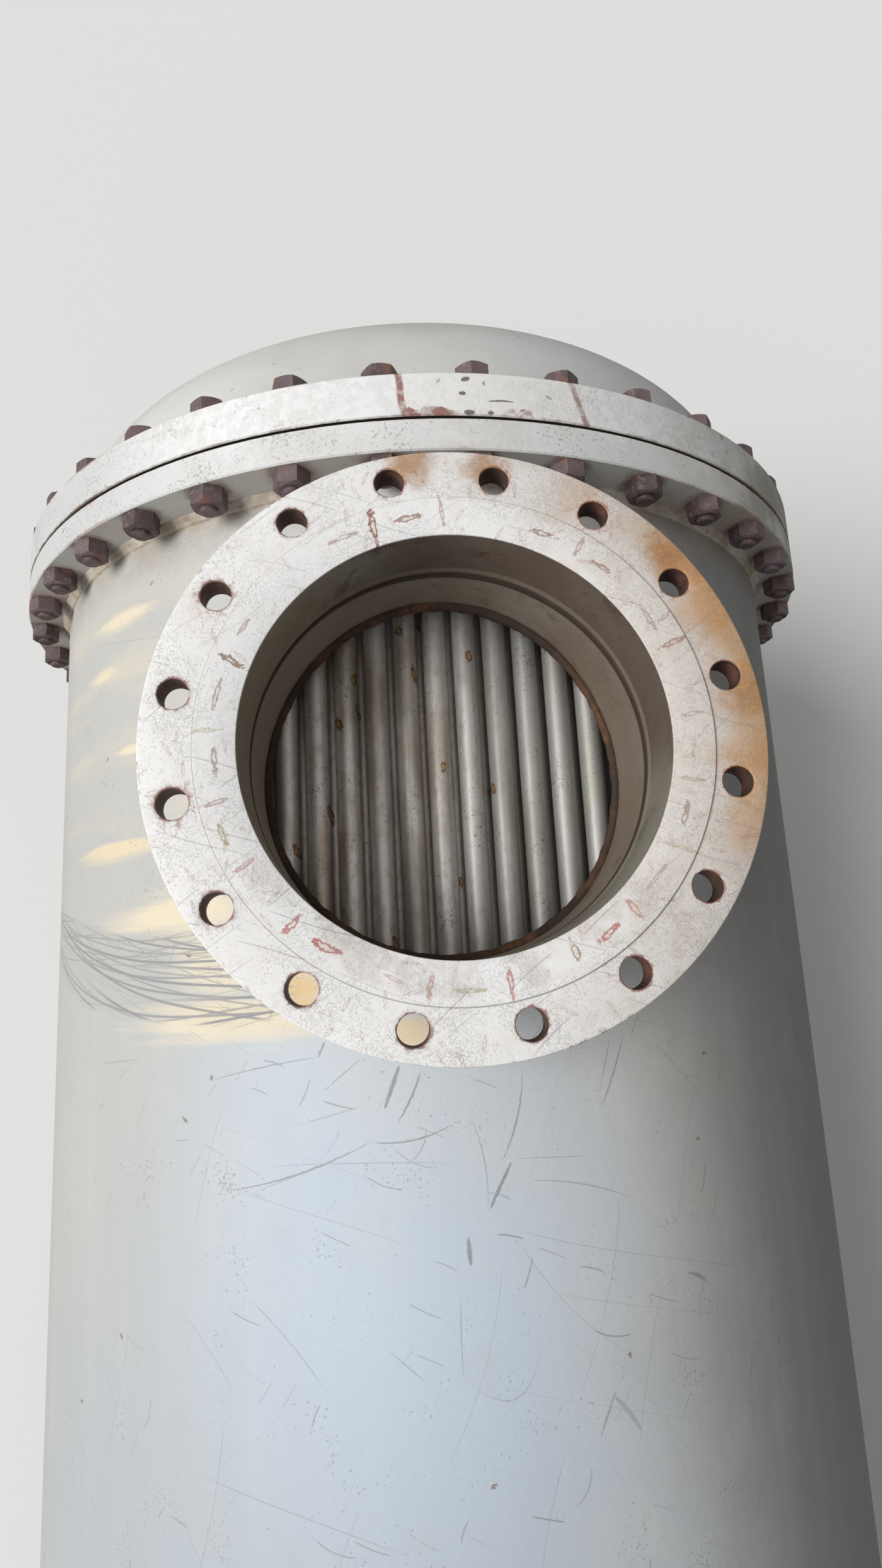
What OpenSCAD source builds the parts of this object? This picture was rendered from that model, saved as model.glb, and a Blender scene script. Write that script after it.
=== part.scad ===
// Horizontal shell and tube heat exchanger on two saddles. The tubesheets are welded to the shell.
// The far end is closed by a plain bonnet, the near end by a two-pass channel with its own head.
// +Y runs along the shell to the far end, +Z is up. The origin is on the floor, in the middle.

/* [Shell] */
// Inner diameter of the shell
shell_bore = 1000; // [950:10:1050]
// Wall of the shell, the channel and both heads
shell_wall = 12; // [8:1:16]
// Length of the tubes, over both tubesheets
tube_length = 3000; // [2800:50:3600]
// Height of the shell's axis above the floor
axis_height = 712; // [700:1:800]

/* [Girth joints] */
// How far the stud circle lies outside the shell
stud_offset = 33; // [32:1:45]
// How far the rim lies outside the stud circle
stud_edge = 20; // [16:1:28]
// Number of studs in each girth joint
stud_count = 36; // [28:4:44]
// Diameter of a stud hole
stud_hole = 23; // [21:0.5:25]
// Thickness of each tubesheet
tubesheet_thick = 35; // [28:1:60]
// Thickness of each girth flange
girth_thick = 48; // [36:1:60]
// Thickness of each girth gasket
gasket_thick = 3; // [2:0.5:5]
// Width of each girth gasket, seen from its end
gasket_width = 13.5; // [8:0.5:18]

/* [Heads and channel] */
// Crown radius of a head, as a share of the shell's outer diameter
crown_share = 0.8; // [0.78:0.01:0.95]
// Knuckle radius of a head, as a share of the shell's outer diameter
knuckle_share = 0.154; // [0.14:0.002:0.18]
// Straight skirt of a head that shows past its flange or barrel
head_skirt = 18; // [10:1:60]
// How far a skirt or barrel stops short of its flange's face
skirt_recess = 8; // [4:1:14]
// Length of the channel barrel behind its flange
barrel_length = 420; // [400:10:600]
// Thickness of the pass plate
pass_thick = 12; // [8:1:20]
// Gap between the pass plate's edge and the channel
pass_gap = 0.2; // [0.1:0.1:0.8]

/* [Shell nozzles] */
// Distance from the tubesheet's inner face to the nozzle's axis
shell_nozzle_inset = 314; // [300:1:400]
// Bore of the pipe and flange
shell_nozzle_bore = 359; // [340:1:370]
// Outer diameter of the pipe
shell_nozzle_pipe = 377; // [371:1:390]
// Outer diameter of the flange's hub, at the flange
shell_nozzle_hub = 400; // [392:1:410]
// Outer diameter of the flange
shell_nozzle_flange = 520; // [515:1:540]
// Diameter of the raised face
shell_nozzle_face = 430; // [424:1:436]
// Thickness of the flange, raised face included
shell_nozzle_thick = 30; // [24:1:36]
// Height of the flange and its hub
shell_nozzle_height = 82; // [60:1:90]
// Bolt circle diameter
shell_nozzle_pcd = 470; // [468:1:474]
// Number of bolt holes
shell_nozzle_bolts = 16; // [12:4:16]
// Diameter of a bolt hole
shell_nozzle_hole = 26; // [22:1:28]

/* [Tube-side nozzles] */
// Bore of the pipe and flange
tube_nozzle_bore = 257; // [245:1:262]
// Outer diameter of the pipe
tube_nozzle_pipe = 273; // [268:1:280]
// Outer diameter of the flange's hub, at the flange
tube_nozzle_hub = 292; // [284:1:300]
// Outer diameter of the flange
tube_nozzle_flange = 405; // [400:1:420]
// Diameter of the raised face
tube_nozzle_face = 320; // [310:1:326]
// Thickness of the flange, raised face included
tube_nozzle_thick = 26; // [22:1:32]
// Height of the flange and its hub
tube_nozzle_height = 70; // [55:1:80]
// Bolt circle diameter
tube_nozzle_pcd = 355; // [352:1:360]
// Number of bolt holes
tube_nozzle_bolts = 12; // [8:4:12]
// Diameter of a bolt hole
tube_nozzle_hole = 26; // [22:1:26]

/* [Flange edges] */
// Chamfer on the edges of every flange and tubesheet
edge_chamfer = 1.5; // [0.5:0.5:3]

/* [All nozzles] */
// Distance from the outside of the shell to each nozzle's face
nozzle_projection = 138; // [115:1:200]
// Height of a raised face
face_height = 2; // [1:0.5:4]

/* [Tube bundle] */
// Outer diameter of a tube
tube_dia = 25; // [19:1:26]
// Pitch of the tubes, in triangles
tube_pitch = 32; // [30:1:36]
// Height of the outermost row above the shell's axis
outer_row_height = 446; // [430:1:450]
// Largest distance of a tube's centre from the shell's axis
bundle_limit = 480; // [460:1:482]

/* [Saddles] */
// Distance between the two saddles
saddle_spacing = 1500; // [1300:10:1600]
// Length of a base plate, across the shell
base_length = 760; // [700:10:860]
// Width of a base plate, along the shell
base_width = 170; // [140:5:220]
// Thickness of a base plate
base_thick = 14; // [10:1:20]
// Thickness of the web and ribs
web_thick = 12; // [8:1:16]
// Width of the wear plate, along the shell
wear_width = 240; // [200:10:300]
// Thickness of the wear plate
wear_thick = 10; // [6:1:14]
// Arc that the wear plate covers, in degrees
wear_arc = 120; // [110:5:140]
// How far the web stops short of the base plate's ends
foot_margin = 10; // [4:1:20]
// Distance from the middle of a saddle to its inner ribs
inner_rib_offset = 125; // [100:5:160]
// Distance between a saddle's anchor holes
anchor_spacing = 600; // [560:10:640]
// Diameter of an anchor hole
anchor_hole = 24; // [18:1:28]

/* [Hidden] */
shell_in = shell_bore / 2;
shell_out = shell_in + shell_wall;
stud_circle_r = shell_out + stud_offset;
girth_r = stud_circle_r + stud_edge;
knuckle_r = knuckle_share * 2 * shell_out;
crown_r = crown_share * 2 * shell_out;
knuckle_centre = shell_in - knuckle_r;
crown_drop = sqrt(pow(crown_r - knuckle_r, 2) - pow(knuckle_centre, 2));
head_depth = crown_r - crown_drop + shell_wall;
nozzle_reach = shell_out + nozzle_projection;
girth_stack = gasket_thick + girth_thick;
overall_length = tube_length + 2 * (girth_stack + head_skirt + head_depth) + barrel_length;
far_tip = overall_length / 2;
far_tangent = far_tip - head_depth;
far_joint = far_tangent - head_skirt - girth_stack;
near_joint = far_joint - tube_length;
channel_end = near_joint - girth_stack - barrel_length;
near_tangent = channel_end - head_skirt;
shell_far = far_joint - tubesheet_thick;
shell_near = near_joint + tubesheet_thick;
shell_length = shell_far - shell_near;
shell_middle = (shell_far + shell_near) / 2;
inlet_y = shell_far - shell_nozzle_inset;
outlet_y = shell_near + shell_nozzle_inset;
channel_nozzle_y = channel_end + barrel_length / 2;
row_step = tube_pitch * sin(60);
wear_out = shell_out + wear_thick;
foot_half = base_length / 2 - foot_margin;
horn_half = wear_out * sin(wear_arc / 2);
horn_height = axis_height - wear_out * cos(wear_arc / 2);
slack = 1;
$fn = 96;

// Places a shape drawn about Z on the shell's axis, its +Z towards the far end.
module to_far(y) {
    translate([0, y, axis_height]) rotate([-90, 0, 0]) children();
}

// Places a shape drawn about Z on the shell's axis, its +Z towards the near end.
module to_near(y) {
    translate([0, y, axis_height]) rotate([90, 0, 0]) children();
}

// Places a shape drawn about Z so that it stands up from the shell's axis.
module upright(y) {
    translate([0, y, axis_height]) children();
}

// Places a shape drawn about Z so that it hangs down from the shell's axis.
module hanging(y) {
    translate([0, y, axis_height]) rotate([180, 0, 0]) children();
}

// A plain ring with its lower face at z = 0.
module ring(outer_r, inner_r, height) {
    difference() {
        cylinder(r = outer_r, h = height);
        translate([0, 0, -slack]) cylinder(r = inner_r, h = height + 2 * slack);
    }
}

// A girth flange with chamfered edges and stud holes, its lower face at z = 0.
module girth_plate(inner_r, thick) {
    difference() {
        rotate_extrude() polygon([
            [inner_r, 0], [girth_r - edge_chamfer, 0], [girth_r, edge_chamfer],
            [girth_r, thick - edge_chamfer], [girth_r - edge_chamfer, thick], [inner_r, thick]
        ]);
        for (i = [0 : stud_count - 1])
            rotate((i + 0.5) * 360 / stud_count)
                translate([stud_circle_r, 0, -slack])
                    cylinder(d = stud_hole, h = thick + 2 * slack);
    }
}

// Half outline of a dished end, grown by the wall: a skirt below y = 0, a knuckle and a crown above.
module dished_outline(skirt, grow) {
    translate([0, -skirt]) square([shell_in + grow, skirt]);
    intersection() {
        translate([0, -crown_drop]) circle(r = crown_r + grow);
        polygon([[0, 0], [knuckle_centre, 0],
                 [knuckle_centre * 3, crown_drop * 2], [0, crown_drop * 2]]);
    }
    intersection() {
        translate([knuckle_centre, 0]) circle(r = knuckle_r + grow);
        square([shell_in + grow, knuckle_r + grow]);
    }
}

// Solid of a dished end about Z; z = 0 is its tangent line.
module dished_solid(skirt, grow) {
    rotate_extrude() dished_outline(skirt, grow);
}

// A dished head with a straight skirt; z = 0 is its tangent line.
module dished_head(skirt) {
    difference() {
        dished_solid(skirt, shell_wall);
        dished_solid(skirt + slack, 0);
    }
}

// Weld-neck flange about Z with its raised face at z = nozzle_reach and holes astride the centre lines.
module neck_flange(bore, pipe, hub, flange, face, thick, height, pcd, bolts, hole) {
    back = nozzle_reach - thick;
    front = nozzle_reach - face_height;
    difference() {
        rotate_extrude() polygon([
            [bore / 2, nozzle_reach - height], [pipe / 2, nozzle_reach - height], [hub / 2, back],
            [flange / 2 - edge_chamfer, back], [flange / 2, back + edge_chamfer],
            [flange / 2, front - edge_chamfer], [flange / 2 - edge_chamfer, front],
            [face / 2, front], [face / 2, nozzle_reach], [bore / 2, nozzle_reach]
        ]);
        neck_flange_holes(thick, pcd, bolts, hole);
    }
}

// Drills for the bolt holes of a nozzle's flange.
module neck_flange_holes(thick, pcd, bolts, hole) {
    for (i = [0 : bolts - 1])
        rotate((i + 0.5) * 360 / bolts)
            translate([pcd / 2, 0, nozzle_reach - thick - slack])
                cylinder(d = hole, h = thick + 2 * slack);
}

// The plate of a weld-neck flange alone, down to where its hub begins.
module neck_flange_plate(bore, flange, face, thick, pcd, bolts, hole) {
    back = nozzle_reach - thick;
    front = nozzle_reach - face_height;
    difference() {
        rotate_extrude() polygon([
            [bore / 2, back], [flange / 2 - edge_chamfer, back], [flange / 2, back + edge_chamfer],
            [flange / 2, front - edge_chamfer], [flange / 2 - edge_chamfer, front],
            [face / 2, front], [face / 2, nozzle_reach], [bore / 2, nozzle_reach]
        ]);
        neck_flange_holes(thick, pcd, bolts, hole);
    }
}

// The tapered hub of a weld-neck flange alone.
module neck_flange_hub(bore, pipe, hub, thick, height) {
    back = nozzle_reach - thick;
    rotate_extrude() polygon([
        [bore / 2, nozzle_reach - height], [pipe / 2, nozzle_reach - height],
        [hub / 2, back], [bore / 2, back]
    ]);
}

// Pipe about Z from the shell's inside up to the neck of its flange.
module neck_pipe(bore, pipe, height) {
    difference() {
        cylinder(d = pipe, h = nozzle_reach - height);
        translate([0, 0, -slack]) cylinder(d = bore, h = nozzle_reach);
        rotate([90, 0, 0]) cylinder(r = shell_in, h = 2 * pipe, center = true);
    }
}

module shell_nozzle_flange_shape() {
    neck_flange(shell_nozzle_bore, shell_nozzle_pipe, shell_nozzle_hub, shell_nozzle_flange,
                shell_nozzle_face, shell_nozzle_thick, shell_nozzle_height,
                shell_nozzle_pcd, shell_nozzle_bolts, shell_nozzle_hole);
}

module tube_nozzle_flange_shape() {
    neck_flange(tube_nozzle_bore, tube_nozzle_pipe, tube_nozzle_hub, tube_nozzle_flange,
                tube_nozzle_face, tube_nozzle_thick, tube_nozzle_height,
                tube_nozzle_pcd, tube_nozzle_bolts, tube_nozzle_hole);
}

// One row of tubes at a height above the shell's axis; odd rows sit half a pitch aside.
module tube_row(row, side) {
    height = outer_row_height - row * row_step;
    shift = (row % 2) * tube_pitch / 2;
    reach = sqrt(pow(bundle_limit, 2) - pow(height, 2));
    most = floor((reach - shift) / tube_pitch);
    fewest = -floor((reach + shift) / tube_pitch);
    for (i = [fewest : most])
        translate([i * tube_pitch + shift, shell_near, axis_height + side * height])
            rotate([-90, 0, 0])
                cylinder(d = tube_dia, h = shell_length);
}

module shell() {
    color("lightsteelblue") difference() {
        to_far(shell_near) ring(shell_out, shell_in, shell_length);
        upright(inlet_y) cylinder(d = shell_nozzle_pipe, h = shell_bore);
        hanging(outlet_y) cylinder(d = shell_nozzle_pipe, h = shell_bore);
    }
}

module far_tubesheet() {
    color("gainsboro") to_far(shell_far) girth_plate(0, tubesheet_thick);
}

module near_tubesheet() {
    color("gainsboro") to_near(shell_near) girth_plate(0, tubesheet_thick);
}

module gasket() {
    ring(shell_out + 2 + gasket_width, shell_out + 2, gasket_thick);
}

module far_gasket() {
    color("dimgray") to_far(far_joint) gasket();
}

module near_gasket() {
    color("dimgray") to_near(near_joint) gasket();
}

module bonnet_flange() {
    color("gainsboro") to_far(far_joint + gasket_thick) girth_plate(shell_out, girth_thick);
}

module bonnet_head() {
    color("silver") to_far(far_tangent) dished_head(head_skirt + girth_thick - skirt_recess);
}

module channel_flange() {
    color("gainsboro") to_near(near_joint - gasket_thick) girth_plate(shell_out, girth_thick);
}

module channel_barrel() {
    barrel_start = near_joint - gasket_thick - skirt_recess;
    color("silver") difference() {
        to_near(barrel_start) ring(shell_out, shell_in, barrel_start - channel_end);
        upright(channel_nozzle_y) cylinder(d = tube_nozzle_pipe, h = shell_bore);
        hanging(channel_nozzle_y) cylinder(d = tube_nozzle_pipe, h = shell_bore);
    }
}

module channel_head() {
    color("silver") to_near(near_tangent) dished_head(head_skirt);
}

// Level plate that parts the channel in two; its edge follows the inside of barrel and head.
module pass_plate() {
    color("gray") translate([0, near_tangent, axis_height + pass_thick / 2]) rotate([180, 0, 0])
        linear_extrude(pass_thick)
            for (side = [0, 1])
                mirror([side, 0]) dished_outline(near_joint - near_tangent, -pass_gap);
}

module shell_inlet_flange() {
    color("whitesmoke") upright(inlet_y) shell_nozzle_flange_shape();
}

module shell_inlet_pipe() {
    color("tan") upright(inlet_y)
        neck_pipe(shell_nozzle_bore, shell_nozzle_pipe, shell_nozzle_height);
}

module shell_outlet_flange() {
    color("whitesmoke") hanging(outlet_y) shell_nozzle_flange_shape();
}

module shell_outlet_pipe() {
    color("tan") hanging(outlet_y)
        neck_pipe(shell_nozzle_bore, shell_nozzle_pipe, shell_nozzle_height);
}

module tube_inlet_flange() {
    color("whitesmoke") hanging(channel_nozzle_y) tube_nozzle_flange_shape();
}

module tube_inlet_pipe() {
    color("tan") hanging(channel_nozzle_y)
        neck_pipe(tube_nozzle_bore, tube_nozzle_pipe, tube_nozzle_height);
}

module tube_outlet_flange() {
    color("whitesmoke") upright(channel_nozzle_y)
        neck_flange_plate(tube_nozzle_bore, tube_nozzle_flange, tube_nozzle_face, tube_nozzle_thick,
                          tube_nozzle_pcd, tube_nozzle_bolts, tube_nozzle_hole);
}

module tube_outlet_hub() {
    color("whitesmoke") upright(channel_nozzle_y)
        neck_flange_hub(tube_nozzle_bore, tube_nozzle_pipe, tube_nozzle_hub,
                        tube_nozzle_thick, tube_nozzle_height);
}

module tube_outlet_pipe() {
    color("tan") upright(channel_nozzle_y)
        neck_pipe(tube_nozzle_bore, tube_nozzle_pipe, tube_nozzle_height);
}

module top_tube_row() {
    color("slategray") tube_row(0, 1);
}

module second_tube_row() {
    color("slategray") tube_row(1, 1);
}

module lower_tube_rows() {
    color("slategray") {
        tube_row(0, -1);
        tube_row(1, -1);
    }
}

// The rows between the modelled ones, as one block that fills the same outline.
module inner_tube_block() {
    half_height = outer_row_height - 2 * row_step + tube_dia / 2;
    block_r = bundle_limit + tube_dia / 2;
    color("darkslategray") intersection() {
        to_far(shell_near) cylinder(r = block_r, h = shell_length);
        translate([-block_r, shell_near, axis_height - half_height])
            cube([2 * block_r, shell_length, 2 * half_height]);
    }
}

// Wear plate: an arc of plate under the shell.
module wear_plate(y) {
    horn = wear_arc / 2;
    far_out = shell_bore;
    to_far(y - wear_width / 2) intersection() {
        ring(wear_out, shell_out, wear_width);
        linear_extrude(wear_width) polygon([
            [0, 0], [far_out * sin(horn), far_out * cos(horn)],
            [far_out * sin(horn), far_out * 2], [-far_out * sin(horn), far_out * 2],
            [-far_out * sin(horn), far_out * cos(horn)]
        ]);
    }
}

// Cuts away all that would reach into the wear plate.
module under_wear_plate() {
    difference() {
        children();
        translate([0, -tube_length, axis_height])
            rotate([-90, 0, 0])
                cylinder(r = wear_out, h = 2 * tube_length);
    }
}

module saddle_web(y) {
    under_wear_plate() translate([0, y + web_thick / 2, 0]) rotate([90, 0, 0])
        linear_extrude(web_thick) polygon([
            [-foot_half, base_thick], [foot_half, base_thick],
            [horn_half, horn_height], [-horn_half, horn_height]
        ]);
}

// Ribs on both sides of the web: two upright ones and one along each sloping end.
module saddle_ribs(y) {
    rib_depth = (base_width - web_thick) / 2 - 5;
    for (face = [-1, 1])
        translate([0, y + face * (web_thick + rib_depth) / 2 + rib_depth / 2, 0]) rotate([90, 0, 0])
            linear_extrude(rib_depth)
                rib_outlines();
}

module rib_outlines() {
    for (side = [-1, 1]) difference() {
        union() {
            translate([side * inner_rib_offset - web_thick / 2, base_thick])
                square([web_thick, axis_height]);
            polygon([
                [side * (foot_half - web_thick), base_thick], [side * foot_half, base_thick],
                [side * horn_half, horn_height], [side * (horn_half - web_thick), horn_height]
            ]);
        }
        translate([0, axis_height]) circle(r = wear_out);
    }
}

module saddle_base(y) {
    difference() {
        translate([-base_length / 2, y - base_width / 2, 0])
            cube([base_length, base_width, base_thick]);
        for (side = [-1, 1])
            translate([side * anchor_spacing / 2, y, -slack])
                cylinder(d = anchor_hole, h = base_thick + 2 * slack);
    }
}

module far_saddle_wear_plate() {
    color("gainsboro") wear_plate(shell_middle + saddle_spacing / 2);
}

module far_saddle_web() {
    color("gainsboro") saddle_web(shell_middle + saddle_spacing / 2);
}

module far_saddle_ribs() {
    color("gainsboro") saddle_ribs(shell_middle + saddle_spacing / 2);
}

module far_saddle_base() {
    color("gainsboro") saddle_base(shell_middle + saddle_spacing / 2);
}

module near_saddle_wear_plate() {
    color("gainsboro") wear_plate(shell_middle - saddle_spacing / 2);
}

module near_saddle_web() {
    color("gainsboro") saddle_web(shell_middle - saddle_spacing / 2);
}

module near_saddle_ribs() {
    color("gainsboro") saddle_ribs(shell_middle - saddle_spacing / 2);
}

module near_saddle_base() {
    color("gainsboro") saddle_base(shell_middle - saddle_spacing / 2);
}

shell();
far_tubesheet();
near_tubesheet();
far_gasket();
near_gasket();
bonnet_flange();
bonnet_head();
channel_flange();
channel_barrel();
channel_head();
pass_plate();
shell_inlet_flange();
shell_inlet_pipe();
shell_outlet_flange();
shell_outlet_pipe();
tube_inlet_flange();
tube_inlet_pipe();
tube_outlet_flange();
tube_outlet_hub();
tube_outlet_pipe();
top_tube_row();
second_tube_row();
lower_tube_rows();
inner_tube_block();
far_saddle_wear_plate();
far_saddle_web();
far_saddle_ribs();
far_saddle_base();
near_saddle_wear_plate();
near_saddle_web();
near_saddle_ribs();
near_saddle_base();
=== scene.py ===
import math
import random
import bpy
from mathutils import Matrix, Vector


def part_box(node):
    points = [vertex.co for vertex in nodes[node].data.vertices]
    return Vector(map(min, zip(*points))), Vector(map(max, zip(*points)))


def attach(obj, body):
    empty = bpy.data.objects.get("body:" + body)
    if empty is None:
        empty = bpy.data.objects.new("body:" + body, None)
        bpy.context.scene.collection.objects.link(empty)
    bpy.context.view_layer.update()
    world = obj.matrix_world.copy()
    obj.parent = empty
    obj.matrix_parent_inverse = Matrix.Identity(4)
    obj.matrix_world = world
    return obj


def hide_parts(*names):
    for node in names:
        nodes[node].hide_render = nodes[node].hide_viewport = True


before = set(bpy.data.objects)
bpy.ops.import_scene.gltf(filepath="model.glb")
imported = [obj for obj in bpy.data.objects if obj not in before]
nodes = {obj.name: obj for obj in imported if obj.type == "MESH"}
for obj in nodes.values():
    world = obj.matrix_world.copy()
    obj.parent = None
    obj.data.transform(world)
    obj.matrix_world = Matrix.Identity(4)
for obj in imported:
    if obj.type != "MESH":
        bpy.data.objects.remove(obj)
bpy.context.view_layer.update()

print("frame loaded:", len(nodes), "nodes")

# Sizes read from the frame, in metres
shellLow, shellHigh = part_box("shell")
axisHeight = (shellLow.z + shellHigh.z) / 2
shellRadius = (shellHigh.z - shellLow.z) / 2
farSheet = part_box("far_tubesheet")
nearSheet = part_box("near_tubesheet")
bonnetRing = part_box("bonnet_flange")
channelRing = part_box("channel_flange")
girthRadius = (farSheet[1].z - farSheet[0].z) / 2
wall = 0.012


def centreOf(node):
    low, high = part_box(node)
    return (low + high) / 2


# modelling helpers

def deselect():
    if bpy.context.object and bpy.context.object.mode == "EDIT":
        bpy.ops.object.mode_set(mode="OBJECT")
    bpy.ops.object.select_all(action="DESELECT")


def pick(*pieces):
    deselect()
    for piece in pieces:
        piece.select_set(True)
    bpy.context.view_layer.objects.active = pieces[0]


def editAll():
    bpy.ops.object.mode_set(mode="EDIT")
    bpy.ops.mesh.select_all(action="SELECT")


def leaveEdit():
    bpy.ops.object.mode_set(mode="OBJECT")


def modify(piece, kind, **settings):
    pick(piece)
    modifier = piece.modifiers.new(kind.lower(), kind)
    for key, value in settings.items():
        setattr(modifier, key, value)
    bpy.ops.object.modifier_apply(modifier=modifier.name)


def tidyMesh(piece, gap=1e-5):
    pick(piece)
    editAll()
    bpy.ops.mesh.remove_doubles(threshold=gap)
    bpy.ops.mesh.normals_make_consistent(inside=False)
    leaveEdit()


def turned(outline, steps, centre=(0, 0, 0), along=(0, 0, 1), out=(1, 0, 0), degrees=360):
    # a corner is drawn along the outline, one (radius, height) pair after another, then spun round the axis
    centre, along, out = Vector(centre), Vector(along), Vector(out)
    spots = [centre + out * radius + along * height for radius, height in outline]
    deselect()
    bpy.ops.mesh.primitive_plane_add(size=0.01)
    piece = bpy.context.object
    editAll()
    bpy.ops.mesh.merge(type="CENTER")
    bpy.ops.transform.translate(value=spots[0])
    for before, after in zip(spots, spots[1:] + spots[:1]):
        bpy.ops.mesh.extrude_region_move(TRANSFORM_OT_translate={"value": after - before})
    bpy.ops.mesh.select_all(action="SELECT")
    if degrees < 360:
        bpy.ops.mesh.remove_doubles(threshold=1e-5)
        bpy.ops.mesh.edge_face_add()
    bpy.ops.mesh.spin(steps=steps, angle=math.radians(degrees), center=centre, axis=along)
    leaveEdit()
    tidyMesh(piece)
    return piece


def copies(piece, places):
    # one copy for each matrix, each with its own mesh, joined into one piece
    made = []
    for place in places:
        copy = piece.copy()
        copy.data = piece.data.copy()
        copy.data.transform(place)
        bpy.context.collection.objects.link(copy)
        made.append(copy)
    pick(*made)
    bpy.ops.object.join()
    return bpy.context.object


def drop(piece):
    bpy.data.objects.remove(piece)


def smooth(piece, degrees=30):
    pick(piece)
    bpy.ops.object.shade_smooth_by_angle(angle=math.radians(degrees))


def settle(piece, name, finish, slot, *stoodFor):
    piece.name = name
    piece.data.name = name
    piece.data.materials.clear()
    piece.data.materials.append(finish)
    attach(piece, "root")
    if stoodFor:
        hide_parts(*stoodFor)
    return piece


# node helpers: a socket knows its own tree, so these take sockets or plain numbers

def isSocket(value):
    return isinstance(value, bpy.types.NodeSocket)


def feed(socket, value):
    if isSocket(value):
        socket.id_data.links.new(value, socket)
    elif socket.type == "RGBA" and len(value) == 3:
        socket.default_value = (*value, 1.0)
    else:
        socket.default_value = value


def addNode(tree, kind, given=None, **settings):
    made = tree.nodes.new("ShaderNode" + kind)
    for key, value in settings.items():
        setattr(made, key, value)
    for key, value in (given or {}).items():
        feed(made.inputs[key], value)
    return made


def treeOf(values):
    return next(value.id_data for value in values if isSocket(value))


def calc(kind, *values):
    return addNode(treeOf(values), "Math", dict(enumerate(values)), operation=kind).outputs[0]


# a socket can be added, taken away, multiplied and divided like a plain number
for sign, kind in (("add", "ADD"), ("sub", "SUBTRACT"), ("mul", "MULTIPLY"), ("truediv", "DIVIDE")):
    setattr(bpy.types.NodeSocket, f"__{sign}__", lambda a, b, kind=kind: calc(kind, a, b))
    setattr(bpy.types.NodeSocket, f"__r{sign}__", lambda a, b, kind=kind: calc(kind, b, a))
bpy.types.NodeSocket.__abs__ = lambda a: calc("ABSOLUTE", a)


def lengthOf(a, b):
    return calc("SQRT", a * a + b * b)


def larger(a, b):
    return calc("MAXIMUM", a, b)


def smaller(a, b):
    return calc("MINIMUM", a, b)


def rise(value, low, high):
    # 0 below low, 1 above high
    return addNode(treeOf((value, low, high)), "MapRange",
                   {"Value": value, "From Min": low, "From Max": high},
                   interpolation_type="SMOOTHSTEP").outputs[0]


def fall(value, low, high):
    return 1.0 - rise(value, low, high)


def line(value, middle, half, soft):
    # 1 within half of the middle, then soft edges
    return fall(abs(value - middle), half, half + soft)


def split(vector):
    return addNode(vector.id_data, "SeparateXYZ", {0: vector}).outputs


def combine(x, y, z=0.0):
    return addNode(treeOf((x, y, z)), "CombineXYZ", {0: x, 1: y, 2: z}).outputs[0]


def mapped(vector, offset=(0, 0, 0), factors=(1, 1, 1), degrees=0.0):
    # stretched, then turned about z, then moved
    return addNode(vector.id_data, "Mapping", {"Vector": vector, "Location": offset, "Scale": factors,
                                               "Rotation": (0.0, 0.0, math.radians(degrees))}).outputs[0]


def stretch(vector, factors):
    return mapped(vector, factors=factors)


def shifted(vector, offset):
    return mapped(vector, offset=offset)


def diceFrom(*values):
    # the same three dice for the same whole numbers
    made = addNode(treeOf(values), "TexWhiteNoise", {"Vector": combine(*values)}, noise_dimensions="3D")
    return addNode(made.id_data, "SeparateColor", {0: made.outputs["Color"]}).outputs


def noise(point, scale, detail=2.0, rough=0.5, bend=0.0):
    return addNode(point.id_data, "TexNoise", {"Vector": point, "Scale": scale, "Detail": detail,
                                               "Roughness": rough, "Distortion": bend}).outputs[0]


def shake(reach, *field):
    # a noise about zero, to tear an edge or bend a line
    return (noise(*field) - 0.5) * reach


def cells(point, scale=1.0, scatter=1.0, flat=False):
    return addNode(point.id_data, "TexVoronoi", {"Vector": point, "Scale": scale, "Randomness": scatter},
                   voronoi_dimensions="2D" if flat else "3D").outputs


def mixed(mask, first, second, kind="MIX"):
    return addNode(treeOf((mask, first, second)), "Mix", {0: mask, 6: first, 7: second},
                   data_type="RGBA", blend_type=kind).outputs[2]


def effect(name, inputs, outputs):
    made = bpy.data.node_groups.new(name, "ShaderNodeTree")
    for label, kind, value in inputs:
        socket = made.interface.new_socket(label, in_out="INPUT", socket_type="NodeSocket" + kind)
        if value is not None:
            socket.default_value = value
    for label, kind in outputs:
        made.interface.new_socket(label, in_out="OUTPUT", socket_type="NodeSocket" + kind)
    return made, made.nodes.new("NodeGroupInput").outputs, made.nodes.new("NodeGroupOutput").inputs


def use(made, **given):
    return addNode(treeOf(given.values()), "Group", given, node_tree=made).outputs


def newFinish(name):
    made = bpy.data.materials.new(name)
    made.use_nodes = True
    return made, addNode(made.node_tree, "TexCoord").outputs["Object"]


def dress(made, colour, rough, height=None, depth=0.001, metal=0.0, shine=0.3):
    shader = made.node_tree.nodes["Principled BSDF"].inputs
    feed(shader["Base Color"], colour)
    feed(shader["Roughness"], rough)
    feed(shader["Metallic"], metal)
    shader["Specular IOR Level"].default_value = shine
    if height is not None:
        bump = addNode(made.node_tree, "Bump", {"Height": height, "Distance": depth, "Strength": 1.0})
        feed(shader["Normal"], bump.outputs[0])
    return made


# shared effects

def makePolar():
    made, given, result = effect("polarPlace", [("Point", "Vector", None)],
                                 [("Radius", "Float"), ("Angle", "Float")])
    x, y, z = split(given["Point"])
    feed(result["Radius"], lengthOf(x, y))
    feed(result["Angle"], calc("ARCTAN2", y, x))
    return made


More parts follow.
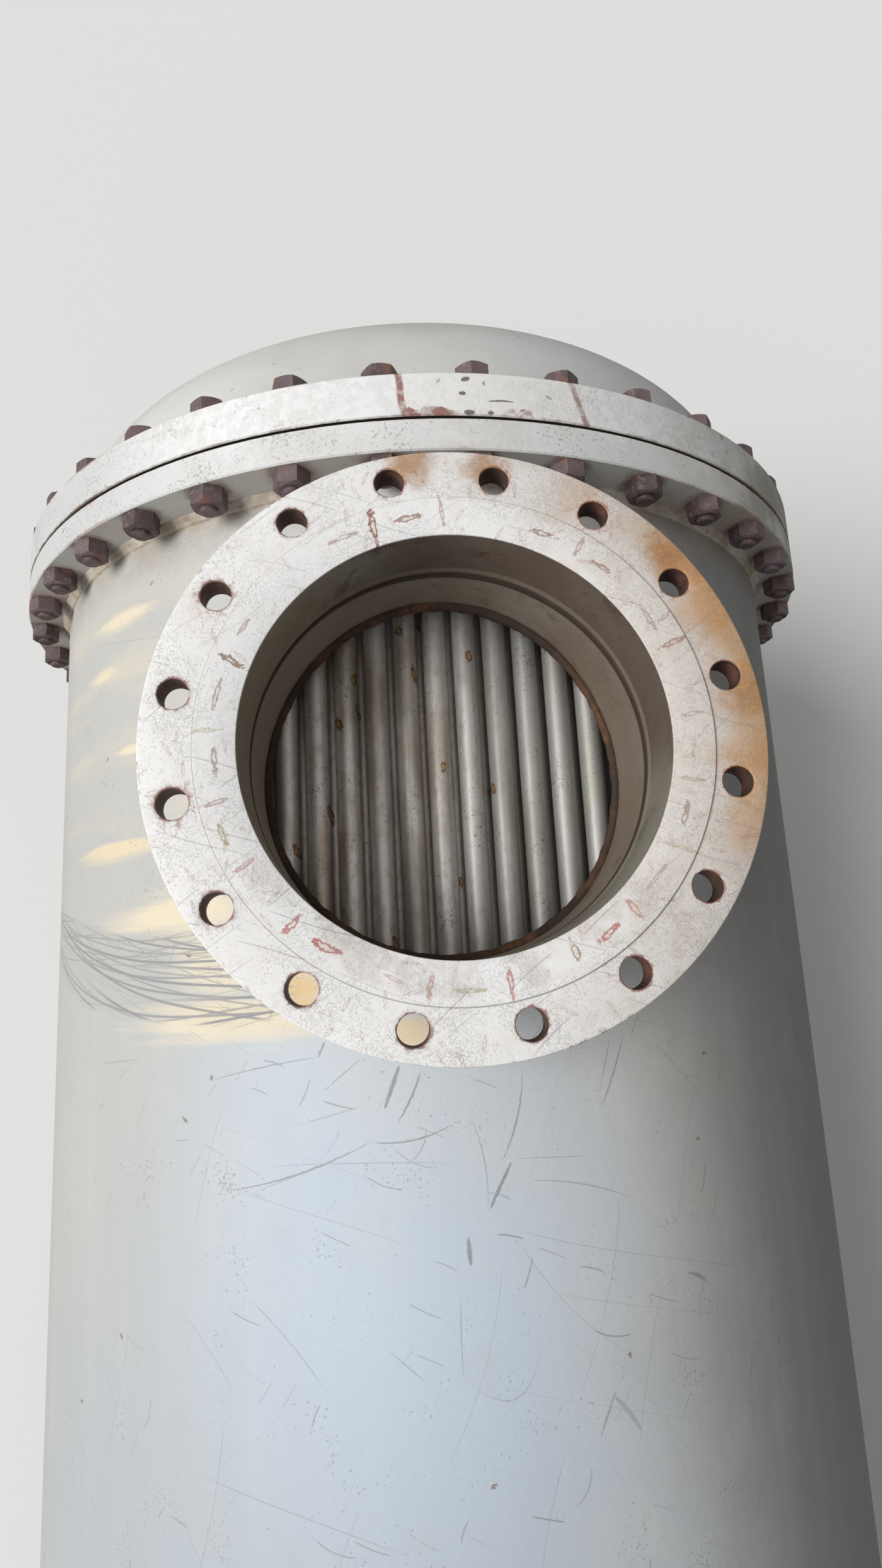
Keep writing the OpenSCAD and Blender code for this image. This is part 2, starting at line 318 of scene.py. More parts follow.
def makeUnroll():
    # lays the drum's surface flat: x is the arc from the top, y runs along the drum
    made, given, result = effect("unrolledDrum", [("Point", "Vector", None)],
                                 [("Flat", "Vector"), ("Radius", "Float"), ("Turn", "Float"),
                                  ("Along", "Float")])
    x, y, z = split(shifted(given["Point"], (0, 0, -axisHeight)))
    turn = calc("ARCTAN2", x, z)
    feed(result["Flat"], combine(turn * shellRadius, y))
    feed(result["Radius"], lengthOf(x, z))
    feed(result["Turn"], turn)
    feed(result["Along"], y)
    return made


def makeMarks():
    # scattered ellipses, one to a cell, lying along or across the radius, or any way round where Free is 1
    made, given, result = effect("scatteredMarks",
                                 [("Point", "Vector", None), ("Cell", "Float", 0.02),
                                  ("Long", "Float", 0.005), ("Wide", "Float", 0.002),
                                  ("Chance", "Float", 0.5), ("Free", "Float", 0.0), ("Ragged", "Float", 0.5),
                                  ("Seed", "Float", 0.0)],
                                 [("Outline", "Float"), ("Inside", "Float"), ("Random", "Float")])
    x, y, z = split(given["Point"])
    seedY = given["Seed"] * 1.7
    gridX = x / given["Cell"] + given["Seed"]
    gridY = y / given["Cell"] + seedY
    found = cells(combine(gridX, gridY), flat=True, scatter=0.8)
    dice = addNode(made, "SeparateColor", {0: found["Color"]}).outputs
    spotX, spotY, spotZ = split(found["Position"])
    awayX = (gridX - spotX) * given["Cell"]
    awayY = (gridY - spotY) * given["Cell"]
    spoke = calc("ARCTAN2", spotY - seedY, spotX - given["Seed"])
    tied = spoke + calc("ROUND", dice[0]) * (math.pi / 2) + (dice[1] - 0.5) * 0.7
    turn = addNode(made, "Mix", {0: given["Free"], 2: tied, 3: dice[0] * math.tau}).outputs[0]
    turnCos, turnSin = calc("COSINE", turn), calc("SINE", turn)
    lengthwise = awayX * turnCos + awayY * turnSin
    across = awayY * turnCos - awayX * turnSin
    halfLong = given["Long"] * (0.6 + dice[1] * 0.8)
    a, b = lengthwise / halfLong, across / given["Wide"]
    wobble = (noise(given["Point"], 0.9 / given["Wide"], 1.0) - 0.5) * given["Ragged"] * 1.6
    reach = lengthOf(a, b) + wobble
    shown = calc("LESS_THAN", dice[2], given["Chance"])
    feed(result["Outline"], rise(reach, 0.5, 0.8) * fall(reach, 1.0, 1.35) * shown)
    feed(result["Inside"], fall(reach, 0.7, 1.0) * shown)
    feed(result["Random"], dice[1])
    return made


def makeSpeckle():
    # fine specks that gather in clusters
    made, given, result = effect("fineSpecks", [("Point", "Vector", None), ("Fine", "Float", 400.0),
                                                ("Amount", "Float", 0.3)], [("Mask", "Float")])
    fine = noise(given["Point"], given["Fine"], 2.0, 0.6)
    cluster = noise(given["Point"], given["Fine"] / 16.0, 2.0)
    level = 0.74 - given["Amount"] * 0.2 - (cluster - 0.5) * 0.5
    feed(result["Mask"], rise(fine, level, level + 0.06))
    return made


def makeChips():
    # flakes of lost paint, each with a raised pale rim
    made, given, result = effect("paintChips", [("Point", "Vector", None), ("Fine", "Float", 60.0),
                                                ("Amount", "Float", 0.2)],
                                 [("Chip", "Float"), ("Rim", "Float")])
    flakes = (noise(given["Point"], given["Fine"], 5.0, 0.65)
              + shake(0.4, given["Point"], given["Fine"] / 9.0, 1.0))
    level = 0.78 - given["Amount"] * 0.3
    chip = rise(flakes, level, level + 0.015)
    feed(result["Chip"], chip)
    feed(result["Rim"], rise(flakes, level - 0.035, level) * (1.0 - chip))
    return made


rustTint = {"deep": (0.200, 0.085, 0.040), "warm": (0.400, 0.185, 0.070), "dark": (0.090, 0.045, 0.030),
            "edge": (0.050, 0.034, 0.026), "plate": (0.020, 0.018, 0.016)}


def makeRust():
    made, given, result = effect("rustTint", [("Point", "Vector", None), ("Fine", "Float", 60.0)],
                                 [("Color", "Color"), ("Grain", "Float")])
    coarse = noise(given["Point"], given["Fine"] / 5.0, 4.0, 0.6)
    grain = noise(given["Point"], given["Fine"], 5.0, 0.7)
    warm = mixed(rise(coarse, 0.38, 0.62), rustTint["deep"], rustTint["warm"])
    feed(result["Color"], mixed(rise(grain, 0.42, 0.66), warm, rustTint["dark"]))
    feed(result["Grain"], grain)
    return made


def makeLanes():
    # hair scratches that run along X in lanes; each lane and each length of it has its own dice
    made, given, result = effect("scratchLanes",
                                 [("Point", "Vector", None), ("Lane", "Float", 0.03), ("Span", "Float", 0.2),
                                  ("Wide", "Float", 0.0006), ("Chance", "Float", 0.5),
                                  ("Sway", "Float", 0.02), ("Seed", "Float", 0.0)], [("Mask", "Float")])
    x, y, z = split(given["Point"])
    sway = shake(given["Sway"], stretch(given["Point"], (2.2, 5.0, 1.0)), 1.0, 1.0)
    track = (y + sway) / given["Lane"] + 40.5
    lane = calc("FLOOR", track)
    laneDice = diceFrom(lane, given["Seed"], 3.0)
    walk = x / given["Span"] + laneDice[0] * 9.0
    part = calc("FLOOR", walk)
    dice = diceFrom(lane, part, given["Seed"])
    across, along = calc("FRACT", track) - 0.5, calc("FRACT", walk) - 0.5
    lean = (dice[1] - 0.5) * along * 0.8
    bow = (dice[2] - 0.5) * (along * along - 0.08) * 1.8
    off = across - (laneDice[1] - 0.5) * 0.5 - lean - bow
    half = given["Wide"] / given["Lane"] * (0.35 + dice[1] * 0.9)
    body = fall(abs(off), half * 0.5, half * 1.3)
    ends = fall(abs(along), 0.16 + dice[2] * 0.2, 0.3 + dice[2] * 0.2)
    shown = calc("LESS_THAN", dice[0], given["Chance"])
    feed(result["Mask"], body * ends * shown * (0.3 + dice[1] * 0.7))
    return made


def makeStroke():
    # one scratch about its own middle, bowed and thinning towards its ends
    made, given, result = effect(
        "singleScratch",
        [("Point", "Vector", None), ("X", "Float", 0.0), ("Y", "Float", 0.0), ("Turn", "Float", 0.0),
         ("Half", "Float", 0.03), ("Wide", "Float", 0.0008), ("Bend", "Float", 0.0)], [("Mask", "Float")])
    x, y, z = split(given["Point"])
    awayX, awayY = x - given["X"], y - given["Y"]
    turnCos, turnSin = calc("COSINE", given["Turn"]), calc("SINE", given["Turn"])
    along = (awayX * turnCos + awayY * turnSin) / given["Half"]
    hump = 1.0 - along * along
    off = awayY * turnCos - awayX * turnSin - given["Bend"] * hump
    half = given["Wide"] * (0.25 + larger(hump, 0.0) * 0.75)
    body = fall(abs(off), half * 0.5, half * 1.25)
    feed(result["Mask"], body * fall(abs(along), 0.85, 1.0))
    return made


def specksOn(point, fine, amount):
    return use(speckEffect, Point=point, Fine=fine, Amount=amount)["Mask"]


def strokes(point, places):
    # each place: x, y, degrees, half length, width, bend, strength; a fine noise tears their edges
    tear = shake(0.0026, point, 260.0, 4.0, 0.7)
    x, y, z = split(point)
    point = combine(x + tear, y - tear)
    mask = None
    for x, y, degrees, half, wide, bend, strength in places:
        one = use(strokeEffect, Point=point, X=x, Y=y, Turn=math.radians(degrees), Half=half, Wide=wide,
                  Bend=bend)
        one = one["Mask"] * strength
        mask = one if mask is None else larger(mask, one)
    return mask


def hairs(point, degrees, **given):
    return use(laneEffect, Point=mapped(point, degrees=degrees), **given)["Mask"]


polarEffect = makePolar()
unrollEffect = makeUnroll()
markEffect = makeMarks()
speckEffect = makeSpeckle()
chipEffect = makeChips()
rustEffect = makeRust()
laneEffect = makeLanes()
strokeEffect = makeStroke()
print("shared effects ready")

# finishes

insidePaint = {"dust": (0.230, 0.185, 0.140), "dark": (0.095, 0.070, 0.054), "pale": (0.31, 0.285, 0.235)}


def insideColour(point):
    # dusty, rusting steel inside the bores and the channel
    clouds = noise(point, 9.0, 4.0, 0.6)
    colour = mixed(rise(clouds, 0.4, 0.66), insidePaint["dust"], insidePaint["pale"])
    colour = mixed(rise(noise(point, 26.0, 4.0, 0.7), 0.52, 0.7), colour, insidePaint["dark"])
    specks = specksOn(point, 260.0, 0.4)
    return mixed(specks * 0.6, colour, insidePaint["dark"])


shellPaint = {
    "pale": (0.640, 0.640, 0.625), "skyReflection": (0.560, 0.635, 0.715), "tan": (0.640, 0.610, 0.560),
    "cream": (0.840, 0.740, 0.540), "grime": (0.300, 0.285, 0.250), "scratch": (0.255, 0.240, 0.235),
    "rope": (0.300, 0.300, 0.305), "ropeFrom": (-0.38, 1.187), "ropeReach": (0.232, 0.046),
    # each: lean in degrees, lane, length, seed
    "ropeStrands": ((-9.0, 0.0120, 1.0, 5.0), (-3.0, 0.0080, 0.9, 6.0), (2.0, 0.0080, 1.1, 7.0),
                    (6.0, 0.0085, 1.2, 14.0), (11.0, 0.0120, 0.8, 8.0), (18.0, 0.0180, 0.9, 11.0)),
    "creamArea": (-1.22, -0.22, 1.10, 1.62), "ochre": (0.720, 0.500, 0.240),
    # each: arc, place along the drum, half reach both ways, share of ochre
    "creamPatches": ((-0.270, 1.243, 0.110, 0.026, 0.1), (-0.190, 1.138, 0.150, 0.026, 0.1),
                     (-0.225, 1.190, 0.070, 0.040, 0.0), (-0.385, 1.319, 0.085, 0.011, 0.35),
                     (-0.400, 1.588, 0.070, 0.012, 0.1), (-0.425, 1.530, 0.050, 0.010, 0.15),
                     (-0.360, 1.430, 0.050, 0.008, 0.1), (-0.149, 1.162, 0.036, 0.022, 1.2),
                     (-0.043, 1.120, 0.030, 0.016, 0.6)),
    "strokes": (
        (-0.064, 1.073, -112, 0.021, 0.0022, 0.0, 0.9), (-0.049, 1.064, -118, 0.026, 0.0011, 0.002, 0.9),
        (-0.191, 1.091, 10, 0.060, 0.0007, 0.002, 0.7), (-0.129, 1.108, -116, 0.008, 0.0014, 0.0, 0.8),
        (-0.110, 1.085, -143, 0.023, 0.0007, 0.0, 0.6), (-0.122, 1.050, -166, 0.034, 0.0006, 0.0, 0.5),
        (-0.155, 1.006, 17, 0.077, 0.0009, -0.006, 0.8), (-0.047, 1.033, 10, 0.038, 0.0009, -0.006, 0.8),
        (-0.097, 1.006, 0, 0.090, 0.0005, 0.003, 0.5), (-0.382, 1.097, 5, 0.037, 0.0006, 0.0, 0.6),
        (-0.367, 1.088, -148, 0.029, 0.0005, 0.0, 0.5), (-0.282, 1.026, 4, 0.012, 0.0007, 0.0, 0.5),
        (-0.160, 0.997, 19, 0.044, 0.0006, 0.0, 0.5), (0.144, 1.075, -115, 0.035, 0.0009, 0.002, 0.8),
        (0.137, 1.081, -108, 0.027, 0.0007, 0.0, 0.6), (0.043, 1.042, -108, 0.040, 0.0009, 0.005, 0.8),
        (0.029, 0.985, -120, 0.023, 0.0016, 0.0, 0.95), (0.077, 1.005, -3, 0.037, 0.0005, 0.0, 0.5),
        (0.104, 0.975, -14, 0.051, 0.0007, 0.005, 0.6), (0.011, 1.005, -82, 0.039, 0.0006, 0.005, 0.6),
        (-0.012, 0.865, -91, 0.033, 0.0006, -0.001, 0.6), (0.022, 0.844, 19, 0.036, 0.0006, -0.030, 0.5),
        (-0.061, 0.845, -39, 0.020, 0.0006, 0.0, 0.6), (0.112, 0.794, -118, 0.020, 0.0012, 0.0, 0.7),
        (-0.002, 0.933, -88, 0.012, 0.0024, 0.0, 0.9), (0.218, 0.885, -28, 0.013, 0.0022, 0.002, 0.8),
        (0.130, 0.791, -52, 0.021, 0.0026, 0.002, 0.5)),
    "nearEndReflection": (0.440, 0.485, 0.525), "leftFlankShade": (0.495, 0.485, 0.455), "leftFlankShadeSky": (0.400, 0.436, 0.472),
    "shade": (0.235, 0.232, 0.225), "lowShade": (0.480, 0.475, 0.460), "brushed": (0.760, 0.770, 0.770),
    "blotch": (0.500, 0.490, 0.470), "dull": (0.500, 0.500, 0.470), "dust": (0.380, 0.320, 0.250),
    "rustSpot": (0.220, 0.140, 0.100), "speck": (0.330, 0.310, 0.290),
}


def makeShellPaint():
    paint = shellPaint
    made, point = newFinish("shellPaint")
    drum = use(unrollEffect, Point=point)
    flat, turn, along = drum["Flat"], drum["Turn"], drum["Along"]
    arc = split(flat)[0]
    clouds = noise(point, 2.3, 5.0, 0.6)
    # painted sky reflection: a pale blue cast over the crown, and a darker blue towards the near end
    crown = (fall(abs(turn + 0.2), 0.2, 0.72) * fall(along, 1.01, 1.41)
             * (0.4 + rise(along, -1.0, 0.5) * 0.6))
    skyReflection = smaller(crown * (0.45 + rise(clouds, 0.35, 0.6) * 0.65), 1.0)
    colour = mixed(skyReflection, paint["pale"], paint["skyReflection"])
    nearEndReflection = (fall(along, 0.45, 0.95) * (0.35 + rise(along, -1.4, 0.4) * 0.65)
               * (0.6 + rise(clouds, 0.4, 0.62) * 0.4))
    colour = mixed(nearEndReflection * fall(abs(turn), 0.4, 1.5), colour, paint["nearEndReflection"])
    # painted shade on the left flank, turning bluish towards the near end as painted sky reflection
    leftFlankShade = rise(turn * -1.0 + (clouds - 0.5) * 0.5, 0.15, 0.75) * 0.85
    bluish = fall(along + (clouds - 0.5) * 1.2, 0.5, 1.3) * fall(turn * -1.0, 0.6, 1.5)
    colour = mixed(leftFlankShade, colour, mixed(bluish, paint["leftFlankShade"], paint["leftFlankShadeSky"]))
    tan = rise(turn, 0.02, 0.5) * rise(noise(shifted(point, (3.0, 0, 0)), 3.4, 4.0, 0.6), 0.42, 0.6)
    colour = mixed(tan * 0.55, colour, paint["tan"])
    # painted shade on the right flank: darker paint over the upper right, less dark lower down
    shaded = rise(turn + (clouds - 0.5) * 0.5, 0.2, 0.7)
    shadeTint = mixed(rise(turn, 1.0, 1.5), paint["shade"], paint["lowShade"])
    colour = mixed(shaded * 0.82, colour, shadeTint)
    brushed = noise(stretch(flat, (34.0, 1.6, 1.0)), 1.0, 3.0, 0.6)
    colour = mixed(rise(brushed, 0.42, 0.72) * 0.05, colour, paint["brushed"])
    blotches = noise(point, 11.0, 5.0, 0.62)
    colour = mixed(rise(blotches, 0.55, 0.72) * 0.22, colour, paint["blotch"])
    # cream stains run round the drum beside the open nozzle
    leftEdge, rightEdge, lowEdge, highEdge = paint["creamArea"]
    beside = (rise(turn, leftEdge - 0.15, leftEdge + 0.3) * fall(turn, rightEdge - 0.2, rightEdge + 0.2)
              * rise(along, lowEdge, lowEdge + 0.1) * fall(along, highEdge - 0.05, highEdge + 0.03))
    leaning = mapped(flat, (0.4, 0.13, 0), (1.8, 12.0, 1.0), -8.0)
    streaks = noise(leaning, 1.0, 4.0, 0.6) + (blotches - 0.5) * 0.25
    colour = mixed(beside * 0.35, colour, paint["dull"])
    cream = rise(streaks, 0.46, 0.72) * beside * 0.34
    ochre = cream * 0.12
    shred = shake(1.8, mapped(flat, (0.1, 0.3, 0), (5.0, 60.0, 1.0), -8.0), 1.0, 4.0, 0.65)
    for patchX, patchY, patchWide, patchHigh, deep in paint["creamPatches"]:
        a, b = (arc - patchX) / patchWide, (along - patchY) / patchHigh
        gone = lengthOf(a, b)
        inside = fall(gone + (shred + (streaks - 0.5) * 1.6), 0.3, 1.3)
        cream, ochre = larger(cream, inside * 0.76), larger(ochre, inside * deep * 0.7)
    colour = mixed(cream, colour, paint["cream"])
    colour = mixed(ochre, colour, paint["ochre"])
    # brown dust beside both girth welds
    joint = abs(along - 0.21)
    dusty = rise(joint, 1.4, 1.46) * rise(noise(point, 14.0, 5.0, 0.65), 0.34, 0.6)
    dusty = larger(dusty, rise(joint + shake(0.012, point, 60.0, 3.0, 0.6), 1.448, 1.458))
    colour = mixed(dusty * 0.8, colour, paint["dust"])
    # grime gathers under the belly and on the lower flanks
    low = rise(abs(turn), 1.35, 2.5)
    belly = low * (0.35 + rise(noise(stretch(flat, (1.2, 5.0, 1.0)), 2.0, 5.0, 0.65), 0.38, 0.68) * 0.5)
    colour = mixed(belly, colour, paint["grime"])
    # hair scratches all over, more of them on the crown in front of the open nozzle
    busy = fall(abs(arc), 0.22, 0.42) * fall(abs(along - 0.95), 0.2, 0.42)
    patchy = 0.12 + rise(noise(point, 4.0, 2.0), 0.42, 0.6) * 0.38
    fine = larger(hairs(flat, 16.0, Lane=0.040, Span=0.34, Wide=0.0004, Chance=0.45, Sway=0.05, Seed=1.0),
                  hairs(flat, -70.0, Lane=0.048, Span=0.18, Wide=0.0004, Chance=0.35, Sway=0.03, Seed=2.0))
    fine = larger(fine, hairs(flat, 52.0, Lane=0.056, Span=0.15, Wide=0.0004, Chance=0.3, Sway=0.03,
                              Seed=3.0))
    fine = fine * larger(patchy, busy * 0.6) * 0.75
    nicks = larger(hairs(flat, -58.0, Lane=0.023, Span=0.034, Wide=0.0007, Chance=0.10, Sway=0.03, Seed=4.0),
                   hairs(flat, 24.0, Lane=0.019, Span=0.040, Wide=0.0006, Chance=0.12, Sway=0.03, Seed=9.0))
    nicks = nicks * (0.15 + busy * 0.5)
    marks = larger(larger(fine, nicks), strokes(flat, paint["strokes"]) * 0.8)
    colour = mixed(marks, colour, paint["scratch"])
    # a bundle of long rubs where a sling lay
    ropeX, ropeY = paint["ropeFrom"]
    reachX, reachY = paint["ropeReach"]
    awayX = arc - ropeX
    sag = awayX * awayX * 0.5 - awayX * 0.13
    awayY = along - ropeY - sag
    bundle = combine(awayX, awayY)
    ragged = shake(0.8, stretch(flat, (5.0, 14.0, 1.0)), 1.0, 2.0)
    region = (fall(abs(awayX / reachX) + ragged * 0.3, 0.93, 1.03)
              * fall(abs(awayY / reachY) + ragged, 0.85, 1.05))
    rub = None
    for lean, lane, span, seed in paint["ropeStrands"]:
        strand = hairs(bundle, lean, Lane=lane, Span=span, Wide=0.0010, Chance=0.85, Sway=0.045, Seed=seed)
        rub = strand if rub is None else larger(rub, strand)
    rub = rub * region
    colour = mixed(region * 0.1, colour, paint["rope"])
    colour = mixed(rub, colour, paint["rope"])
    # small rust spots and specks
    spots = use(markEffect, Point=flat, Cell=0.085, Long=0.0024, Wide=0.0012, Chance=0.13, Free=1.0,
                Ragged=2.2, Seed=5.0)
    colour = mixed(larger(spots["Inside"], spots["Outline"]) * 0.75, colour, paint["rustSpot"])
    specks = specksOn(point, 330.0, 0.14)
    colour = mixed(specks * 0.4, colour, paint["speck"])
    inside = fall(drum["Radius"], shellRadius - 0.008, shellRadius - 0.006)
    colour = mixed(inside, colour, insideColour(point))
    rough = 0.5 + blotches * 0.2
    height = noise(point, 120.0, 4.0, 0.6) * 0.4 - specks * 0.5
    return dress(made, colour, rough, height, 0.0006, shine=0.2)


flangePaint = {
    "white": (0.880, 0.872, 0.855), "warm": (0.690, 0.610, 0.530), "speck": (0.380, 0.365, 0.355),
    "line": (0.270, 0.255, 0.245), "mark": (0.300, 0.110, 0.085), "ochre": (0.560, 0.470, 0.260),
    "pink": (0.520, 0.290, 0.290), "stain": (0.560, 0.285, 0.110), "hole": (0.080, 0.048, 0.038),
    "wash": (0.540, 0.340, 0.180),
    "mottle": (0.620, 0.500, 0.400), "grit": (0.550, 0.420, 0.340), "rightSideShade": (0.570, 0.510, 0.450),
    "litRaisedFace": (0.930, 0.925, 0.915), "bareRing": (0.600, 0.570, 0.530), "redMark": (0.480, 0.120, 0.105),
    "brownMark": (0.330, 0.240, 0.180), "greenMark": (0.360, 0.330, 0.100),
    "faintMark": (0.400, 0.340, 0.280), "lowFace": (0.560, 0.490, 0.430), "wornRim": (0.360, 0.250, 0.180),
    "back": (0.520, 0.500, 0.470), "holeRust": (0.170, 0.075, 0.055), "boreOlive": (0.170, 0.168, 0.135),
    "boreDark": (0.085, 0.055, 0.040), "boreLeftLight": (0.420, 0.350, 0.260), "boreLineHighlight": (0.340, 0.280, 0.210),
    "boreGrooveShadow": (0.032, 0.020, 0.015),
}
shellNozzle = {"bore": 0.1795, "pipe": 0.1885, "hub": 0.2, "rim": 0.26, "face": 0.215, "thick": 0.03,
               "tall": 0.082, "circle": 0.235, "bolts": 16, "hole": 0.013, "steps": 256, "ring": 0.199,
               "marks": 42}
tubeNozzle = {"bore": 0.1285, "pipe": 0.1365, "hub": 0.146, "rim": 0.2025, "face": 0.16, "thick": 0.026,
              "tall": 0.07, "circle": 0.1775, "bolts": 12, "hole": 0.013, "steps": 224, "ring": 0.146,
              "marks": 30}


def makeFlangePaint(name, centre, up, form, washAt, stains):
    # stains: (angle in degrees, radius, reach, strength) of each rust patch on the face
    paint = flangePaint
    made, point = newFinish(name)
    moved = shifted(point, (-centre[0], -centre[1], -centre[2]))
    local = stretch(moved, (1.0, 1.0, up))
    polar = use(polarEffect, Point=local)
    radius, angle = polar["Radius"], polar["Angle"]
    x, y, z = split(local)
    depth = z * -1.0
    clouds = noise(local, 16.0, 5.0, 0.62)
    # rightward grows towards the right side: it carries the painted shade there, and weights the warm tint,
    # mottle and grit
    rightward = rise(x + y * 0.12, -0.02, 0.22)
    colour = mixed(rise(clouds, 0.48, 0.7) * (0.12 + rightward * 0.55), paint["white"], paint["warm"])
    mottle = rise(noise(local, 38.0, 5.0, 0.7), 0.47, 0.66)
    colour = mixed(mottle * (0.12 + rightward * 0.45), colour, paint["mottle"])
    grit = rise(noise(local, 90.0, 4.0, 0.7), 0.55, 0.68) * (0.2 + rightward * 0.3)
    colour = mixed(grit, colour, paint["grit"])
    # grey curls and specks of worn paint
    wander = noise(local, 115.0, 2.0, 0.6, 1.4)
    gathered = rise(noise(local, 21.0, 2.0), 0.40, 0.60)
    curls = line(wander, 0.5, 0.004, 0.01) * gathered
    colour = mixed(curls * 0.45, colour, paint["speck"])
    # painted shade over the right side of the flange
    colour = mixed(rightward * 0.72, colour, paint["rightSideShade"])
    specks = specksOn(local, 420.0, 0.62)
    colour = mixed(specks * 0.24, colour, paint["speck"])
    # painted light: the raised face paler, except on the right side
    litRaisedFace = fall(radius, form["face"] - 0.006, form["face"] - 0.001) * (1.0 - rightward)
    colour = mixed(litRaisedFace * 0.45, colour, paint["litRaisedFace"])
    # hole rims: chipped round the edge, pinkish at some
    pitch = math.tau / form["bolts"]
    number = calc("FLOOR", angle / pitch)
    folded = angle - (number + 0.5) * pitch
    holeX = radius * calc("COSINE", folded) - form["circle"]
    holeY = radius * calc("SINE", folded)
    away = lengthOf(holeX, holeY)
    dice = addNode(made.node_tree, "TexWhiteNoise", {"W": number}, noise_dimensions="1D").outputs[0]
    ragged = shake(0.012, local, 150.0, 4.0, 0.7)
    ring = fall(away + ragged, form["hole"] + 0.002, form["hole"] + 0.0032)
    colour = mixed(ring * (0.25 + dice * 0.4), colour, paint["bareRing"])
    edge = fall(away + ragged * 0.7, form["hole"] + 0.0006, form["hole"] + 0.0016)
    colour = mixed(edge * 0.8, colour, paint["mark"])
    halo = (fall(away + ragged * 2.2, form["hole"] + 0.002, form["hole"] + 0.01)
            * rise(noise(local, 210.0, 2.0), 0.52, 0.6))
    colour = mixed(halo * rise(dice, 0.6, 0.9) * 0.6, colour, paint["pink"])
    # a rusty wash down one side of the rim, then stains that spread from the holes
    side = fall(abs(angle - math.radians(washAt)), math.radians(24), math.radians(44))
    washed = radius + shake(0.06, local, 30.0, 5.0, 0.65)
    colour = mixed(rise(washed, form["face"] + 0.004, form["rim"] - 0.004) * side * 0.9, colour,
                   paint["wash"])
    fringe = shake(1.5, local, 45.0, 5.0, 0.65)
    rusty = mixed(0.35, paint["stain"], use(rustEffect, Point=local, Fine=160.0)["Color"])
    for degrees, distance, reach, strength in stains:
        a = x - distance * math.cos(math.radians(degrees))
        b = y - distance * math.sin(math.radians(degrees))
        gone = lengthOf(a, b) / reach
        spread = fall(gone + fringe, 0.1, 1.0)
        colour = mixed(spread * strength, colour, rusty if strength > 0.6 else paint["stain"])
    # pressed marks in a ring round the face, one along the radius and the next across it
    ringPitch = math.tau / form["marks"]
    markNumber = calc("FLOOR", angle / ringPitch)
    dice = diceFrom(markNumber, 2.0, 5.0)
    apart = (angle - (markNumber + 0.5) * ringPitch - (dice[0] - 0.5) * 0.03) * form["ring"]
    outward = radius - (form["ring"] + (dice[1] - 0.5) * 0.01)
    crosswise = calc("FRACT", markNumber * 0.5)
    lengthwise = outward * (1.0 - crosswise * 2.0) + apart * (crosswise * 2.0)
    across = apart * (1.0 - crosswise * 2.0) + outward * (crosswise * 2.0)
    across = across + (dice[2] - 0.5) * lengthwise * 0.35
    a = lengthwise / (0.006 + dice[0] * 0.006)
    b = across / (0.001 + dice[2] * 0.0014)
    torn = noise(local, 330.0, 3.0, 0.7) + noise(local, 110.0, 2.0, 0.6)
    reach = lengthOf(a, b) + (torn - 1.0) * 2.6
    vivid = mixed(fall(y, -0.12, -0.02), paint["mark"], paint["redMark"])
    markTint = mixed(rise(dice[1], 0.25, 0.45), paint["brownMark"], vivid)
    markTint = mixed(rise(dice[1], 0.80, 0.84), markTint, paint["greenMark"])
    present = (0.35 + dice[2] * 0.6) * calc("GREATER_THAN", dice[0], 0.14)
    colour = mixed(fall(reach, 0.6, 1.0) * present * 0.25, colour, paint["ochre"])
    colour = mixed(line(reach, 0.9, 0.22, 0.4) * present, colour, markTint)
    # smaller ones scattered over the rest
    for cell, seed, chance, strength in ((0.020, 1.0, 0.34, 0.38), (0.027, 13.0, 0.30, 0.45)):
        marks = use(markEffect, Point=local, Cell=cell, Long=0.0050, Wide=0.0012, Chance=chance, Free=0.4,
                    Ragged=1.6, Seed=seed)
        faint = mixed(marks["Random"], paint["faintMark"], paint["mark"])
        colour = mixed(marks["Outline"] * strength, colour, faint)
    low = fall(y, -0.16, -0.05) * fall(radius, form["face"] - 0.012, form["face"] - 0.002)
    colour = mixed(low * rise(noise(local, 26.0, 4.0, 0.6), 0.42, 0.6) * 0.5, colour, paint["lowFace"])
    hair = larger(hairs(local, 20.0, Lane=0.016, Span=0.09, Wide=0.0004, Chance=0.5, Sway=0.02, Seed=1.0),
                  hairs(local, -35.0, Lane=0.021, Span=0.07, Wide=0.0004, Chance=0.4, Sway=0.02, Seed=2.0))
    colour = mixed(hair * 0.45, colour, paint["speck"])
    # the scribed line at the raised face's edge
    colour = mixed(line(radius, form["face"] + 0.0003, 0.0003, 0.0006) * 0.65, colour, paint["line"])
    # worn outer edge
    rim = rise(radius, form["rim"] - 0.0035, form["rim"] - 0.0005)
    worn = use(chipEffect, Point=local, Fine=90.0, Amount=0.55)
    colour = mixed(rim * worn["Chip"] * 0.7, colour, paint["wornRim"])
    # the back of the plate and the neck are duller
    back = rise(depth, form["thick"] - 0.004, form["thick"] + 0.001)
    colour = mixed(back * 0.6, colour, paint["back"])
    # the holes' own walls and the bore
    holeWall = fall(away, form["hole"] + 0.0002, form["hole"] + 0.0006) * rise(depth, 0.0026, 0.0036)
    wallTint = mixed(rise(noise(local, 70.0, 3.0), 0.45, 0.62), paint["hole"], paint["holeRust"])
    colour = mixed(holeWall, colour, wallTint)
    bore = fall(radius, form["bore"] + 0.0003, form["bore"] + 0.0012)
    bore = bore * rise(depth, 0.0008, 0.0018)
